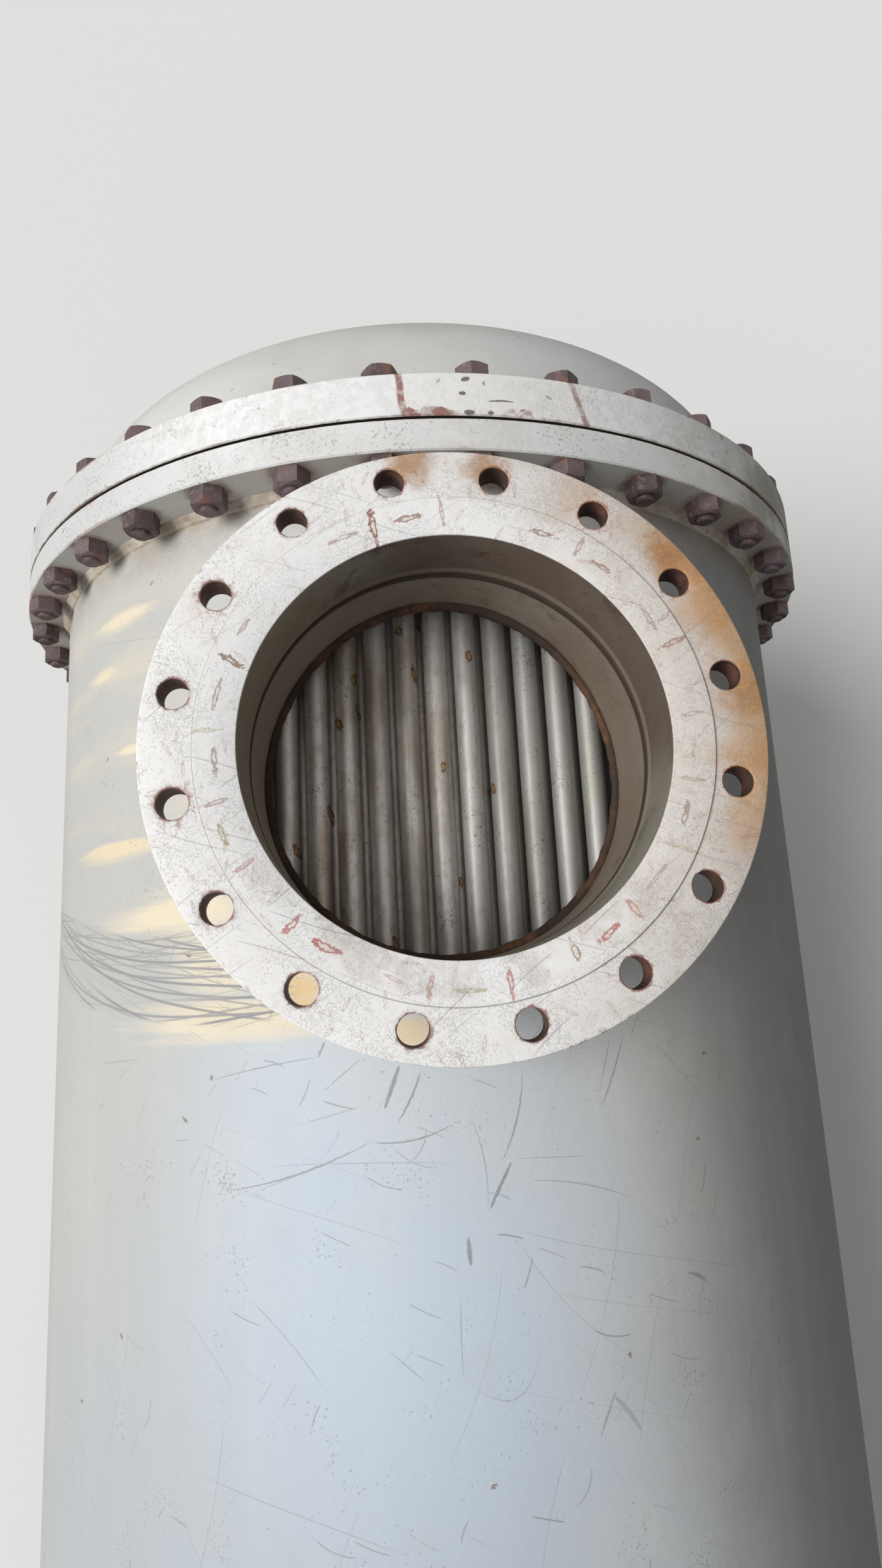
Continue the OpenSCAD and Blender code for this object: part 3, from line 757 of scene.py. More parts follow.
    # in the bore: an olive-grey tint on the right, darker towards the upper right, and the shaded left wall
    # lightened as painted light
    inner = mixed(rise(x - y * 0.35, 0.06, 0.17) * 0.6, insideColour(point), paint["boreOlive"])
    inner = mixed(rise(x * 0.8 + y, 0.08, 0.16) * 0.75, inner, paint["boreDark"])
    inner = mixed(fall(x, -0.17, -0.06) * 0.6, inner, paint["boreLeftLight"])
    # a painted highlight on the band above the neck's groove, then painted shadow in the groove
    inner = mixed(line(depth, form["tall"] - 0.013, 0.002, 0.004) * 0.45, inner, paint["boreLineHighlight"])
    inner = mixed(rise(depth, form["tall"] - 0.009, form["tall"] - 0.004) * 0.9, inner,
                  paint["boreGrooveShadow"])
    colour = mixed(bore, colour, inner)
    rough = 0.5 + clouds * 0.3
    height = noise(local, 240.0, 4.0, 0.6) * 0.5 - larger(specks, curls) * 0.3 - hair * 0.4
    return dress(made, colour, rough, height, 0.0006)


girthPaint = {
    "pale": (0.730, 0.732, 0.722), "beige": (0.620, 0.575, 0.500), "speck": (0.340, 0.325, 0.305),
    "face": (0.500, 0.490, 0.455), "stain": (0.235, 0.150, 0.105), "studs": 36, "circle": 0.545,
    "bright": (0.880, 0.880, 0.875), "leftSideShade": (0.560, 0.562, 0.555), "mossAndShade": (0.330, 0.320, 0.270),
    "chipRim": (0.800, 0.800, 0.790), "chip": (0.270, 0.200, 0.160), "lip": (0.100, 0.065, 0.050),
    "chalk": (0.900, 0.895, 0.885), "patch": (0.860, 0.835, 0.780), "band": (0.270, 0.095, 0.070),
    "nick": (0.120, 0.100, 0.090), "brownFace": (0.430, 0.390, 0.340), "gap": (0.045, 0.035, 0.030),
}


def makeGirthPaint(name, low, high, gapSide, patched=False):
    # low and high are the ring's ends along the drum, and gapSide the end that faces the gasket
    paint = girthPaint
    made, point = newFinish(name)
    drum = use(unrollEffect, Point=point)
    turn, along, radius = drum["Turn"], drum["Along"], drum["Radius"]
    clouds = noise(point, 7.0, 5.0, 0.62)
    colour = mixed(rise(clouds, 0.48, 0.7) * 0.55, paint["pale"], paint["beige"])
    pale = rise(noise(point, 23.0, 4.0, 0.6), 0.5, 0.7)
    colour = mixed(pale * 0.4, colour, paint["bright"])
    # painted shade on the left side; on the right a moss tint, darkened further as painted shade
    colour = mixed(rise(turn * -1.0, 0.3, 0.8) * 0.8, colour, paint["leftSideShade"])
    mossAndShadeMask = rise(turn, 0.3, 0.9) * rise(noise(point, 9.0, 4.0, 0.6), 0.38, 0.6)
    colour = mixed(mossAndShadeMask * 0.85, colour, paint["mossAndShade"])
    wander = noise(point, 80.0, 2.0, 0.6, 1.2)
    curls = line(wander, 0.5, 0.004, 0.01) * rise(noise(point, 15.0, 2.0), 0.45, 0.6)
    colour = mixed(curls * 0.4, colour, paint["speck"])
    specks = specksOn(point, 300.0, 0.55)
    colour = mixed(specks * 0.55, colour, paint["speck"])
    worn = use(chipEffect, Point=point, Fine=55.0, Amount=0.3)
    colour = mixed(worn["Rim"] * 0.3, colour, paint["chipRim"])
    colour = mixed(worn["Chip"] * 0.7, colour, paint["chip"])
    # rust creeps from the gap and the outer corner, and the edge at the gap is darker
    edge = smaller(abs(along - low), abs(along - high))
    creep = fall(edge + shake(0.012, point, 60.0, 4.0, 0.7), 0.0005, 0.004)
    patchy = rise(noise(point, 6.0, 3.0), 0.47, 0.6)
    rust = use(rustEffect, Point=point, Fine=120.0)["Color"]
    colour = mixed(creep * patchy * 0.65, colour, rust)
    lip = fall(abs(along - gapSide) + shake(0.003, point, 90.0, 3.0), 0.0003, 0.0016)
    colour = mixed(lip * 0.85, colour, paint["lip"])
    if patched:
        # an old repaired stretch on top of the rim, between two rusty bands
        rim = rise(radius, girthRadius - 0.004, girthRadius - 0.002)
        rough = noise(point, 85.0, 4.0, 0.7)
        wander = shake(0.012, point, 40.0, 3.0, 0.6)
        share = (along - low) / (high - low)
        within = rise(turn, -0.05, -0.045) * fall(turn, 0.262, 0.274)
        chalky = fall(abs(turn), 0.35, 0.75) * rim * (0.3 + rise(rough, 0.42, 0.6) * 0.5)
        colour = mixed(chalky, colour, paint["chalk"])
        colour = mixed(within * rim * 0.45, colour, paint["patch"])
        leftBand = line(turn + (wander + share * 0.007), -0.046, 0.0035, 0.005)
        rightBand = line(turn + (wander + share * 0.026), 0.292, 0.003, 0.006)
        lowEdge = fall(share + shake(1.2, point, 55.0, 3.0), 0.02, 0.14)
        scallops = lowEdge * rise(turn, -0.046, -0.04) * fall(turn, 0.03, 0.06)
        thinner = lowEdge * within * rise(noise(point, 30.0, 2.0), 0.5, 0.56) * 0.7
        bands = larger(larger(leftBand, rightBand * 0.85), larger(scallops, thinner))
        bands = bands * (0.45 + rise(rough, 0.42, 0.56) * 0.55)
        colour = mixed(bands * rim * 0.9, colour, paint["band"])
        dark = strokes(combine(turn * girthRadius, along),
                       ((0.0375, high - 0.008, 20, 0.005, 0.003, 0.0, 0.9),
                        (0.0335, low + 0.024, 0, 0.004, 0.0026, 0.0, 0.9),
                        (0.0725, low + 0.016, 2, 0.014, 0.0013, 0.001, 0.85),
                        (0.056, high - 0.012, 80, 0.0028, 0.0014, 0.0, 0.6),
                        (0.095, low + 0.008, 15, 0.0035, 0.0018, 0.0, 0.7),
                        (0.124, low + 0.026, -30, 0.004, 0.0014, 0.0, 0.6),
                        (0.01, high - 0.01, 60, 0.003, 0.0016, 0.0, 0.5),
                        (0.0395, low + 0.003, 0, 0.006, 0.003, 0.0, 0.9),
                        (0.0615, low + 0.003, 0, 0.0035, 0.0026, 0.0, 0.9)))
        colour = mixed(dark * rim, colour, paint["nick"])
    # the flat faces are duller, with brown runs round each nut
    face = fall(radius, girthRadius - 0.0022, girthRadius - 0.0014)
    colour = mixed(face * 0.7, colour, mixed(rise(clouds, 0.4, 0.62), paint["face"], paint["brownFace"]))
    pitch = math.tau / paint["studs"]
    folded = calc("FRACT", turn / pitch + 100.0) - 0.5
    sideways = folded * pitch * paint["circle"]
    outward = radius - paint["circle"]
    away = lengthOf(sideways, outward)
    halo = fall(away + shake(0.03, point, 55.0, 4.0, 0.65), 0.016, 0.03)
    colour = mixed(halo * face * 0.7, colour, paint["stain"])
    # painted shade: the face at the gap near black
    gapFace = face * fall(abs(along - gapSide), 0.0004, 0.0008)
    colour = mixed(gapFace, colour, paint["gap"])
    rough = 0.55 + clouds * 0.25
    height = noise(point, 200.0, 4.0, 0.6) * 0.4 - (worn["Chip"] * 0.5 + specks * 0.2)
    return dress(made, colour, rough, height, 0.0006)


headPaint = {
    "pale": (0.640, 0.640, 0.625), "dull": (0.560, 0.545, 0.510), "green": (0.520, 0.545, 0.510),
    "runs": (0.660, 0.660, 0.640), "speck": (0.300, 0.280, 0.260), "chip": (0.280, 0.190, 0.140),
    "shade": (0.330, 0.325, 0.310), "grime": (0.300, 0.280, 0.245),
}


def makeHeadPaint():
    paint = headPaint
    made, point = newFinish("headPaint")
    drum = use(unrollEffect, Point=point)
    clouds = noise(point, 4.0, 5.0, 0.6)
    colour = mixed(rise(clouds, 0.42, 0.66), paint["pale"], paint["dull"])
    colour = mixed(rise(noise(point, 2.2, 3.0), 0.5, 0.68) * 0.5, colour, paint["green"])
    runs = noise(stretch(shifted(point, (0, 0, 0.3)), (14.0, 14.0, 1.3)), 1.0, 4.0, 0.6)
    colour = mixed(rise(runs, 0.5, 0.72) * 0.25, colour, paint["runs"])
    specks = specksOn(point, 260.0, 0.3)
    colour = mixed(specks * 0.4, colour, paint["speck"])
    worn = use(chipEffect, Point=point, Fine=40.0, Amount=0.18)
    colour = mixed(worn["Chip"] * 0.6, colour, paint["chip"])
    # painted shade: the heads darker on the right side
    shaded = rise(drum["Turn"] + (clouds - 0.5) * 0.6, 0.5, 1.1)
    colour = mixed(shaded * 0.45, colour, paint["shade"])
    low = rise(abs(drum["Turn"]), 1.5, 2.6) * (0.3 + rise(clouds, 0.4, 0.65) * 0.4)
    colour = mixed(low, colour, paint["grime"])
    inside = (fall(drum["Radius"], shellRadius - 0.008, shellRadius - 0.006)
              * fall(abs(drum["Along"]), 1.762, 1.764))
    colour = mixed(inside, colour, insideColour(point))
    rough = 0.5 + clouds * 0.22
    height = noise(point, 150.0, 4.0, 0.6) * 0.4 - worn["Chip"] * 0.6
    return dress(made, colour, rough, height, 0.0005)


nutTint = {
    "dark": (0.075, 0.050, 0.050), "pale": (0.135, 0.095, 0.100), "dust": (0.225, 0.170, 0.175),
    "rust": (0.200, 0.085, 0.050),
}


def makeNutFinish():
    # dark purple-brown rust, each nut a little different
    made, point = newFinish("rustedNuts")
    tint = noise(point, 13.0, 1.0)
    colour = mixed(rise(tint, 0.38, 0.62), nutTint["dark"], nutTint["pale"])
    grain = noise(point, 150.0, 5.0, 0.7)
    colour = mixed(rise(grain, 0.5, 0.68) * 0.7, colour, nutTint["dust"])
    colour = mixed(rise(noise(point, 60.0, 3.0), 0.56, 0.68) * 0.6, colour, nutTint["rust"])
    return dress(made, colour, 0.4 + grain * 0.25, noise(point, 330.0, 4.0, 0.65), 0.0006, 0.15, 0.5)


weldTint = {
    "pale": (0.560, 0.500, 0.420), "brown": (0.430, 0.350, 0.270), "pit": (0.240, 0.170, 0.120),
    "paint": (0.620, 0.600, 0.560),
}


def makeWeldFinish():
    made, point = newFinish("weldBead")
    clouds = noise(point, 17.0, 4.0, 0.65)
    colour = mixed(rise(clouds, 0.36, 0.66), weldTint["pale"], weldTint["brown"])
    grain = noise(point, 120.0, 4.0, 0.65)
    colour = mixed(rise(grain, 0.54, 0.68) * 0.6, colour, weldTint["pit"])
    colour = mixed(rise(noise(point, 45.0, 3.0), 0.5, 0.64) * 0.6, colour, weldTint["paint"])
    return dress(made, colour, 0.6 + grain * 0.2, noise(point, 260.0, 4.0, 0.6), 0.0008)


def makeEdgeFinish(name, dark):
    # the rusted weld and cut edge deep in a nozzle; dark sets the share of near-black, which on the root seam
    # is painted shadow of its groove
    made, point = newFinish(name)
    rust = use(rustEffect, Point=point, Fine=90.0)
    colour = mixed(rise(noise(point, 22.0, 3.0), 0.4, 0.6) * (1.0 - dark), rustTint["edge"], rust["Color"])
    return dress(made, colour, 0.8, rust["Grain"], 0.0012)


tubeTint = {
    "steel": (0.640, 0.620, 0.590), "bright": (0.800, 0.785, 0.755), "brown": (0.500, 0.390, 0.290),
    "green": (0.330, 0.340, 0.270), "ochre": (0.520, 0.300, 0.090), "rust": (0.150, 0.070, 0.040),
    "warm": (0.860, 0.800, 0.720), "mottle": (0.300, 0.255, 0.200), "shade": (0.340, 0.330, 0.310),
    "dull": (0.200, 0.185, 0.165), "speck": (0.100, 0.075, 0.055),
}


def makeTubeFinish():
    tint = tubeTint
    made, point = newFinish("dullTubes")
    x, y, z = split(point)
    number = calc("FLOOR", (x + 0.64) / 0.016)
    dice = addNode(made.node_tree, "TexWhiteNoise", {"W": number}, noise_dimensions="1D").outputs[0]
    grain = noise(stretch(point, (90.0, 5.0, 90.0)), 1.0, 4.0, 0.65)
    colour = mixed(rise(grain, 0.4, 0.66), tint["steel"], tint["bright"])
    leftward = fall(x, -0.12, 0.08)
    colour = mixed(leftward * 0.35, colour, tint["warm"])
    browned = rise(noise(stretch(point, (26.0, 7.0, 26.0)), 1.0, 5.0, 0.65), 0.44, 0.64)
    colour = mixed(browned * (0.4 + leftward * 0.45), colour, tint["brown"])
    mottled = rise(noise(stretch(point, (1.0, 0.6, 1.0)), 120.0, 4.0, 0.7), 0.48, 0.66)
    colour = mixed(mottled * 0.35, colour, tint["mottle"])
    # painted shade: the tubes on the right darker
    colour = mixed(rise(x, 0.0, 0.1) * 0.68, colour, tint["shade"])
    colour = mixed(rise(noise(stretch(point, (22.0, 5.0, 22.0)), 1.0, 2.0), 0.52, 0.68) * 0.6, colour,
                   tint["green"])
    colour = mixed(dice * 0.3, colour, tint["dull"])
    for seed, cell, chance in ((4.0, 0.046, 0.42), (9.0, 0.031, 0.20)):
        flat = stretch(point, (1.0, 0.45, 1.0))
        spots = use(markEffect, Point=flat, Cell=cell, Long=0.0030, Wide=0.0021, Chance=chance, Free=1.0,
                    Ragged=1.2, Seed=seed)
        colour = mixed(spots["Inside"] * 0.85, colour, tint["ochre"])
        colour = mixed(spots["Outline"] * 0.85, colour, tint["rust"])
    specks = specksOn(point, 350.0, 0.35)
    colour = mixed(specks * 0.6, colour, tint["speck"])
    return dress(made, colour, 0.38 + grain * 0.24, grain, 0.0003, 0.4)


pipeTint = {
    "pale": (0.560, 0.555, 0.540), "dull": (0.460, 0.430, 0.390), "speck": (0.300, 0.260, 0.230),
    "inside": (0.270, 0.225, 0.175), "leftInsideLight": (0.420, 0.360, 0.290),
    "rightInsideShade": (0.150, 0.105, 0.080), "seam": (0.030, 0.019, 0.014),
}


def makePipePaint(name, centre, up, bore, tall):
    made, point = newFinish(name)
    local = stretch(shifted(point, (-centre[0], -centre[1], -centre[2])), (1.0, 1.0, up))
    radius = use(polarEffect, Point=local)["Radius"]
    depth = split(local)[2] * -1.0
    clouds = noise(point, 10.0, 4.0, 0.6)
    colour = mixed(rise(clouds, 0.42, 0.66), pipeTint["pale"], pipeTint["dull"])
    specks = specksOn(point, 280.0, 0.4)
    colour = mixed(specks * 0.5, colour, pipeTint["speck"])
    inner = mixed(0.4, insideColour(point), pipeTint["inside"])
    # the shaded left wall lightened as painted light, and the lit right wall darkened as painted shade
    side = split(local)[0]
    inner = mixed(fall(side, -0.14, 0.0) * 0.6, inner, pipeTint["leftInsideLight"])
    inner = mixed(rise(side, 0.04, 0.14) * 0.5, inner, pipeTint["rightInsideShade"])
    # painted shadow at the top of the pipe, in the groove below the neck
    seam = fall(depth, tall + 0.003, tall + 0.006)
    inner = mixed(seam * 0.9, inner, pipeTint["seam"])
    colour = mixed(fall(radius, bore + 0.002, bore + 0.004), colour, inner)
    return dress(made, colour, 0.6 + clouds * 0.2, noise(point, 130.0, 4.0, 0.6), 0.0007)


def makePlateRust(name, dark):
    made, point = newFinish(name)
    rust = use(rustEffect, Point=point, Fine=50.0)
    colour = mixed(dark, insideColour(point), rustTint["plate"])
    colour = mixed(rise(noise(point, 8.0, 4.0), 0.5, 0.66) * 0.4, colour, rust["Color"])
    return dress(made, colour, 0.82, rust["Grain"], 0.0008)


gasketTint = {"dark": (0.022, 0.021, 0.020), "grey": (0.060, 0.052, 0.046)}


def makeGasketFinish():
    made, point = newFinish("gasket")
    grain = noise(point, 180.0, 3.0, 0.6)
    colour = mixed(rise(grain, 0.4, 0.66), gasketTint["dark"], gasketTint["grey"])
    return dress(made, colour, 0.7 + grain * 0.2, grain, 0.0004)


saddleTint = {
    "pale": (0.575, 0.580, 0.575), "dull": (0.475, 0.465, 0.440), "speck": (0.300, 0.270, 0.240),
    "chipRim": (0.680, 0.680, 0.660), "splash": (0.255, 0.215, 0.165),
}


def makeSaddlePaint():
    made, point = newFinish("saddlePaint")
    x, y, z = split(point)
    clouds = noise(point, 8.0, 5.0, 0.62)
    colour = mixed(rise(clouds, 0.42, 0.66), saddleTint["pale"], saddleTint["dull"])
    specks = specksOn(point, 240.0, 0.4)
    colour = mixed(specks * 0.5, colour, saddleTint["speck"])
    worn = use(chipEffect, Point=point, Fine=34.0, Amount=0.42)
    rust = use(rustEffect, Point=point, Fine=80.0)
    colour = mixed(worn["Rim"] * 0.3, colour, saddleTint["chipRim"])
    colour = mixed(worn["Chip"] * 0.85, colour, rust["Color"])
    splash = fall(z + (clouds - 0.5) * 0.3, 0.01, 0.14)
    colour = mixed(splash * 0.65, colour, saddleTint["splash"])
    foot = fall(z + shake(0.02, point, 40.0, 3.0), 0.012, 0.022) * 0.55
    colour = mixed(foot, colour, rust["Color"])
    height = noise(point, 140.0, 4.0, 0.6) * 0.4 - worn["Chip"] * 0.6
    return dress(made, colour, 0.58 + clouds * 0.25, height, 0.0007)


inletCentre = centreOf("shell_inlet_flange")
outletCentre = centreOf("shell_outlet_flange")
tubeInletCentre = centreOf("tube_inlet_flange")
tubeOutletCentre = centreOf("tube_outlet_flange")
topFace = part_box("shell_inlet_flange")[1].z
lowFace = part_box("shell_outlet_flange")[0].z
nozzles = {
    # name: centre of the face, which way it looks, form, side of the rusty wash, rust patches
    "shellInlet": ((inletCentre.x, inletCentre.y, topFace), 1.0, shellNozzle, 12,
                   ((97, 0.250, 0.034, 0.85), (81, 0.247, 0.032, 0.80), (60, 0.244, 0.040, 0.35),
                    (38, 0.250, 0.038, 0.85), (26, 0.246, 0.044, 0.60), (8, 0.246, 0.040, 0.75),
                    (-7, 0.240, 0.036, 0.60), (-20, 0.238, 0.030, 0.30), (150, 0.240, 0.030, 0.12))),
    "shellOutlet": ((outletCentre.x, outletCentre.y, lowFace), -1.0, shellNozzle, 100,
                    ((30, 0.247, 0.045, 0.6), (140, 0.242, 0.035, 0.45), (250, 0.247, 0.050, 0.7))),
    "tubeInlet": ((tubeInletCentre.x, tubeInletCentre.y, lowFace), -1.0, tubeNozzle, -60,
                  ((70, 0.190, 0.035, 0.6), (200, 0.188, 0.040, 0.7), (310, 0.190, 0.030, 0.45))),
    "tubeOutlet": ((tubeOutletCentre.x, tubeOutletCentre.y, topFace), 1.0, tubeNozzle, 140,
                   ((20, 0.190, 0.040, 0.65), (165, 0.188, 0.034, 0.7), (260, 0.190, 0.038, 0.5))),
}
cadNames = {"shellInlet": "shell_inlet", "shellOutlet": "shell_outlet", "tubeInlet": "tube_inlet",
            "tubeOutlet": "tube_outlet"}
flangeFinishes = {name: makeFlangePaint(name + "Paint", *facts) for name, facts in nozzles.items()}
pipeFinishes = {name: makePipePaint(name + "PipePaint", centre, up, form["bore"], form["tall"])
                for name, (centre, up, form, *marks) in nozzles.items()}
shellFinish = makeShellPaint()
headFinish = makeHeadPaint()
nutFinish = makeNutFinish()
weldFinish = makeWeldFinish()
edgeFinish = makeEdgeFinish("rustedEdge", 0.72)
# the root seam nearly black: painted shadow of the groove
rootFinish = makeEdgeFinish("darkRoot", 0.9)
tubeFinish = makeTubeFinish()
gasketFinish = makeGasketFinish()
saddleFinish = makeSaddlePaint()
passFinish = makePlateRust("passPlateRust", 0.1)
blockFinish = makePlateRust("innerTubes", 0.75)
girthFinishes = {"far_tubesheet": makeGirthPaint("farTubesheetPaint", farSheet[0].y, farSheet[1].y,
                                                 farSheet[1].y),
                 "bonnet_flange": makeGirthPaint("bonnetFlangePaint", bonnetRing[0].y, bonnetRing[1].y,
                                                 bonnetRing[0].y, True),
                 "near_tubesheet": makeGirthPaint("nearTubesheetPaint", nearSheet[0].y, nearSheet[1].y,
                                                  nearSheet[0].y),
                 "channel_flange": makeGirthPaint("channelFlangePaint", channelRing[0].y, channelRing[1].y,
                                                  channelRing[1].y)}
print("finishes ready")

cadFinishes = {
    "shell": shellFinish, "bonnet_head": headFinish, "channel_head": headFinish, "channel_barrel": headFinish,
    "far_gasket": gasketFinish, "near_gasket": gasketFinish, "pass_plate": passFinish,
    "top_tube_row": tubeFinish, "second_tube_row": tubeFinish, "lower_tube_rows": tubeFinish,
    "inner_tube_block": blockFinish, **girthFinishes,
}
for name, cadName in cadNames.items():
    cadFinishes[cadName + "_pipe"] = pipeFinishes[name]
for name, node in nodes.items():
    if "saddle" in name:
        cadFinishes[name] = saddleFinish
    if name in cadFinishes:
        node.data.materials.clear()
        node.data.materials.append(cadFinishes[name])
print("frame dressed")

# nozzle flanges

flangeEdges = {"soft": 0.0012, "rimSoft": 0.0022, "raised": 0.002, "holeBreak": 0.001, "fillet": 0.006,
               "reach": 0.008, "root": 0.0045}


def makeFlange(form):
    edges = flangeEdges
    soft, rimSoft, raised = edges["soft"], edges["rimSoft"], edges["raised"]
    rim, back = form["rim"], -form["thick"]
    outline = [(form["bore"], -soft), (form["bore"] + soft * 0.3, -soft * 0.3), (form["bore"] + soft, 0.0),
               (form["face"] - 0.0006, 0.0), (form["face"] - 0.0001, -0.0004), (form["face"], -raised),
               (rim - rimSoft, -raised), (rim - rimSoft * 0.35, -raised - rimSoft * 0.3),
               (rim, -raised - rimSoft), (rim, back + rimSoft), (rim - rimSoft * 0.35, back + rimSoft * 0.3),
               (rim - rimSoft, back), (form["hub"] + edges["fillet"], back),
               (form["hub"] + edges["fillet"] * 0.3, back - edges["fillet"] * 0.3),
               (form["hub"], back - edges["fillet"]), (form["pipe"], -form["tall"]),
               (form["bore"] + edges["root"], -form["tall"]),
               (form["bore"], edges["root"] * 1.4 - form["tall"])]
    flange = turned(outline, form["steps"])
    reach, chamfer = edges["reach"], edges["holeBreak"]
    hole = form["hole"]
    cutter = turned([
        (0.0, reach), (hole + chamfer + reach, reach), (hole, -raised - chamfer), (hole, back + chamfer),
        (hole + chamfer + reach, back - reach), (0.0, back - reach)], 40)
    pitch, outward = math.tau / form["bolts"], Matrix.Translation((form["circle"], 0, 0))
    cutters = copies(cutter, [Matrix.Rotation((i + 0.5) * pitch, 4, "Z") @ outward
                              for i in range(form["bolts"])])
    modify(flange, "BOOLEAN", object=cutters, operation="DIFFERENCE", solver="EXACT")
    drop(cutter)
    drop(cutters)
    tidyMesh(flange, 1e-6)
    smooth(flange, 28)
    return flange


def placed(centre, up):
    turnOver = Matrix.Rotation(math.pi, 4, "X") if up < 0 else Matrix.Identity(4)
    return Matrix.Translation(centre) @ turnOver


bigFlange, smallFlange = makeFlange(shellNozzle), makeFlange(tubeNozzle)
for name, (centre, up, form, *marks) in nozzles.items():
    pattern = bigFlange if form is shellNozzle else smallFlange
    piece = copies(pattern, [placed(centre, up)])
    stoodFor = [cadNames[name] + ending for ending in ("_flange", "_hub") if cadNames[name] + ending in nodes]
    settle(piece, name + "Flange", flangeFinishes[name], "nozzle_flange", *stoodFor)
drop(bigFlange)
drop(smallFlange)
print("nozzle flanges placed")

# welds

weldSizes = {"leg": 0.0092, "headLeg": 0.009, "girthSteps": 1000, "ringSteps": 420, "ripple": 0.0026,
             "grain": 0.0075, "seamWide": 0.009, "seamTall": 0.0022, "bead": 0.0085, "edgeBead": 0.0062}


def layBead(bead, name, finish, slot, strength, grain):
    # the bead is rippled as laid by hand
    texture = bpy.data.textures.new("ripple", "CLOUDS")
    texture.noise_scale = grain
    texture.noise_depth = 2
    modify(bead, "DISPLACE", texture=texture, strength=strength, mid_level=0.5)
    smooth(bead, 60)
    return settle(bead, name, finish, slot)


def girthWeld(name, along, facing, slot, leg):
    # a two-pass fillet in the corner between the drum and a ring's flat face at "along"
    inner = shellRadius - 0.0015
    outline = [(inner, 0.001), (inner, -leg), (shellRadius + leg * 0.2, -leg * 0.97),
               (shellRadius + leg * 0.42, -leg * 0.72), (shellRadius + leg * 0.46, -leg * 0.56),
               (shellRadius + leg * 0.8, -leg * 0.34), (shellRadius + leg, -leg * 0.02),
               (shellRadius + leg, 0.001)]
    bead = turned(outline, weldSizes["girthSteps"], centre=(0, along, axisHeight), along=(0, facing, 0),
                  out=(0, 0, 1))
    return layBead(bead, name, weldFinish, slot, weldSizes["ripple"], weldSizes["grain"])


def seamWeld(name, along, slot):
    # a flat butt seam round the drum
    wide, tall = weldSizes["seamWide"], weldSizes["seamTall"]
    outline = [(shellRadius - 0.003, -wide), (shellRadius, -wide), (shellRadius + tall * 0.8, -wide * 0.5),
               (shellRadius + tall, 0.0), (shellRadius + tall * 0.8, wide * 0.5), (shellRadius, wide),
               (shellRadius - 0.003, wide)]
    bead = turned(outline, weldSizes["girthSteps"], centre=(0, along, axisHeight), along=(0, 1, 0),
                  out=(0, 0, 1))
    return layBead(bead, name, headFinish, slot, 0.0014, 0.006)


girthWeld("farTubesheetWeld", farSheet[0].y, 1, "shell", weldSizes["leg"])
girthWeld("nearTubesheetWeld", nearSheet[1].y, -1, "shell", weldSizes["leg"])
girthWeld("bonnetFlangeWeld", bonnetRing[1].y, -1, "head", weldSizes["headLeg"])
girthWeld("channelFlangeWeld", channelRing[0].y, 1, "head", weldSizes["headLeg"])
seamWeld("channelHeadSeam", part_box("channel_barrel")[0].y, "head")


def saddleRing(ringRadius, beadRadius, drumRadius, centre, up):
    # a torus whose every corner is set down on the drum, so that it follows the line where pipe and drum meet
    deselect()
    bpy.ops.mesh.primitive_torus_add(major_radius=ringRadius, minor_radius=beadRadius,
                                     major_segments=weldSizes["ringSteps"], minor_segments=10)
    ring = bpy.context.object
    for corner in ring.data.vertices:
        x, y, z = corner.co
        drumTop = math.sqrt(drumRadius ** 2 - x ** 2)
        corner.co = (x, y + centre[1], axisHeight + up * (drumTop + z))
    tidyMesh(ring, 1e-6)
    return ring


for name, (centre, up, form, *marks) in nozzles.items():
    outside = saddleRing(form["pipe"] + 0.0035, weldSizes["bead"], shellRadius, centre, up)
    layBead(outside, name + "Weld", weldFinish, "nozzle_pipe", 0.0026, 0.008)
    # the cut edge inside the drum, and the root of the seam between pipe and neck
    inside = saddleRing(form["bore"] - 0.0010, weldSizes["edgeBead"], shellRadius - wall, centre, up)
    layBead(inside, name + "CutEdge", edgeFinish, "nozzle_pipe", 0.0036, 0.010)
    bore, pipe = form["bore"], form["pipe"]
    neckEnd = (centre[0], centre[1], centre[2] - up * form["tall"])
    root = turned([(bore + 0.0045, -0.0002), (bore + 0.0010, 0.0), (bore + 0.0012, up * 0.0014),
                   (bore + 0.0030, up * 0.0034), (bore + 0.0045, up * 0.004)], weldSizes["ringSteps"],
                  centre=neckEnd)
    layBead(root, name + "RootSeam", rootFinish, "nozzle_pipe", 0.0008, 0.006)
    cap = turned([(pipe - 0.001, -0.006), (pipe + 0.0014, -0.0035), (pipe + 0.0020, 0.0),
                  (pipe + 0.0016, 0.0035), (pipe - 0.001, 0.006)], weldSizes["ringSteps"], centre=neckEnd)
    layBead(cap, name + "NeckSeam", pipeFinishes[name], "nozzle_pipe", 0.0012, 0.006)
print("welds laid")

# studs and nuts of the girth joints

fastener = {"across": 0.034, "tall": 0.0195, "stud": 0.010, "proud": 0.0045, "count": 36, "circle": 0.545,
            "cone": 0.0175, "seed": 41}


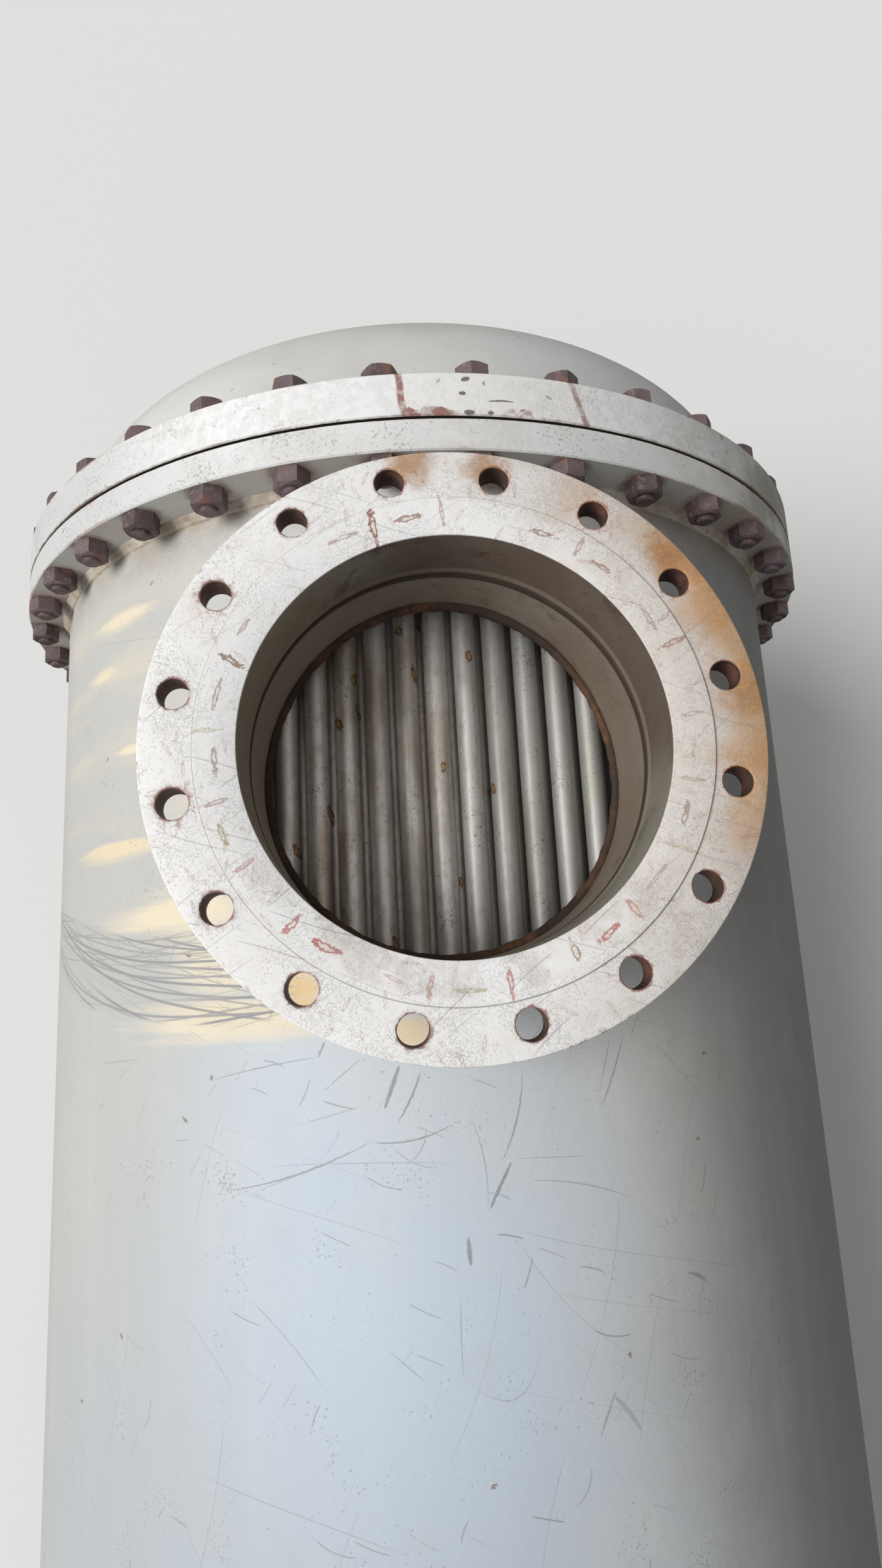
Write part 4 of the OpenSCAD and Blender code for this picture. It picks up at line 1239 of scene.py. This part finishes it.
def makeNut():
    # a hexagon cut back by a cone, with the stud's end standing out of it; its seat is at z = 0
    size = fastener
    deselect()
    bpy.ops.mesh.primitive_cylinder_add(vertices=6, radius=size["across"] / math.sqrt(3), depth=size["tall"],
                                        location=(0, 0, size["tall"] / 2))
    nut = bpy.context.object
    bpy.ops.object.transform_apply(location=True)
    corner = size["across"] / math.sqrt(3)
    cone = turned([(0.0, -0.001), (corner + 0.002, -0.001), (corner + 0.002, size["tall"] - 0.004),
                   (size["across"] / 2 - 0.0006, size["tall"] - 0.001),
                   (size["across"] / 2 - 0.002, size["tall"] + 0.0002), (0.0, size["tall"] + 0.0002)], 24)
    modify(nut, "BOOLEAN", object=cone, operation="INTERSECT", solver="EXACT")
    drop(cone)
    top = size["tall"] + size["proud"]
    end = turned([(0.0, size["tall"] - 0.002), (size["stud"], size["tall"] - 0.002),
                  (size["stud"], top - 0.0014), (size["stud"] - 0.0016, top), (0.0, top)], 14)
    pick(nut, end)
    bpy.ops.object.join()
    tidyMesh(nut, 1e-6)
    smooth(nut, 32)
    return nut


def ringOfNuts(name, pattern, along, facing, slot, dice, tall=1.0):
    stand = Matrix.Rotation(-math.pi / 2 * facing, 4, "X")  # the nut's axis laid along the drum
    places = []
    for i in range(fastener["count"]):
        angle = math.radians(5 + 10 * i)
        spot = Vector((fastener["circle"] * math.sin(angle), along,
                       axisHeight + fastener["circle"] * math.cos(angle)))
        places.append(Matrix.Translation(spot) @ stand @ Matrix.Rotation(dice.uniform(0, math.pi / 3), 4, "Z")
                      @ Matrix.Scale(dice.uniform(0.97, 1.02) * tall, 4, (0, 0, 1)))
    return settle(copies(pattern, places), name, nutFinish, slot)


def ringOfStuds(name, low, high, slot):
    deselect()
    bpy.ops.mesh.primitive_cylinder_add(vertices=14, radius=fastener["stud"], depth=high - low)
    stud = bpy.context.object
    editAll()
    bpy.ops.mesh.bevel(offset=0.0008, affect="EDGES")
    leaveEdit()
    places = []
    for i in range(fastener["count"]):
        angle = math.radians(5 + 10 * i)
        spot = Vector((fastener["circle"] * math.sin(angle), (low + high) / 2,
                       axisHeight + fastener["circle"] * math.cos(angle)))
        places.append(Matrix.Translation(spot) @ Matrix.Rotation(math.pi / 2, 4, "X"))
    made = copies(stud, places)
    drop(stud)
    smooth(made, 32)
    return settle(made, name, nutFinish, slot)


dice = random.Random(fastener["seed"])
nutPattern = makeNut()
ringOfNuts("farNutsShellSide", nutPattern, farSheet[0].y, -1, "bare_flange", dice)
ringOfNuts("farNutsBonnetSide", nutPattern, bonnetRing[1].y, 1, "bare_flange", dice, 0.84)
ringOfNuts("nearNutsShellSide", nutPattern, nearSheet[1].y, 1, "bare_flange", dice)
ringOfNuts("nearNutsChannelSide", nutPattern, channelRing[0].y, -1, "bare_flange", dice)
ringOfStuds("farStuds", farSheet[0].y, bonnetRing[1].y, "bare_flange")
ringOfStuds("nearStuds", channelRing[0].y, nearSheet[1].y, "bare_flange")
drop(nutPattern)
print("fasteners placed")

# stage, light and camera

stageSet = {"floor": 160.0, "pale": (0.80, 0.80, 0.79), "bounce": (0.18, 0.18, 0.175)}
daylight = {"world": 0.335, "fade": 0.27, "sun": 2.58, "towards": (-0.71, -0.08, 0.70), "soft": 36.0}
photoView = {"place": (-0.0655, 1.1778, 2.0672), "turn": (11.652, -2.2385, -2.7644), "lens": 20.487,
             "shift": (0.0126, 0.0008)}


def makeStage():
    deselect()
    bpy.ops.mesh.primitive_plane_add(size=stageSet["floor"], location=(0, 0, -0.001))
    floor = bpy.context.object
    floor.name = "floor"
    made = newFinish("floorPaint")[0]
    sight = addNode(made.node_tree, "LightPath").outputs["Is Camera Ray"]
    dress(made, mixed(sight, stageSet["bounce"], stageSet["pale"]), 0.9)
    floor.data.materials.append(made)


def makeLight():
    world = bpy.context.scene.world or bpy.data.worlds.new("sky")
    bpy.context.scene.world = world
    world.use_nodes = True
    tree = world.node_tree
    tree.nodes.clear()
    paths = addNode(tree, "LightPath").outputs
    seen = larger(larger(paths["Is Camera Ray"], paths["Is Glossy Ray"]), paths["Is Transmission Ray"])
    sideways = split(addNode(tree, "TexCoord").outputs["Generated"])[0]
    # brighter on the left
    sky = daylight["world"] - sideways * daylight["fade"]
    strength = larger(sky, seen)
    backdrop = addNode(tree, "Background", {"Color": (1.0, 1.0, 1.0), "Strength": strength})
    feed(tree.nodes.new("ShaderNodeOutputWorld").inputs[0], backdrop.outputs[0])
    deselect()
    bpy.ops.object.light_add(type="SUN", location=(-3, 0, 5))
    sun = bpy.context.object
    sun.name = "softKey"
    sun.data.energy = daylight["sun"]
    sun.data.angle = math.radians(daylight["soft"])
    sun.rotation_euler = Vector(daylight["towards"]).to_track_quat("Z", "Y").to_euler()


def makeCamera():
    deselect()
    bpy.ops.object.camera_add(location=photoView["place"],
                              rotation=[math.radians(a) for a in photoView["turn"]])
    camera = bpy.context.object
    camera.name = "photoCamera"
    camera.data.sensor_width = 36
    camera.data.lens = photoView["lens"]
    camera.data.shift_x, camera.data.shift_y = photoView["shift"]
    camera.data.clip_start = 0.05
    bpy.context.scene.camera = camera


makeStage()
makeLight()
makeCamera()
bpy.context.scene.view_settings.view_transform = "Standard"
print("stage, light and camera set")
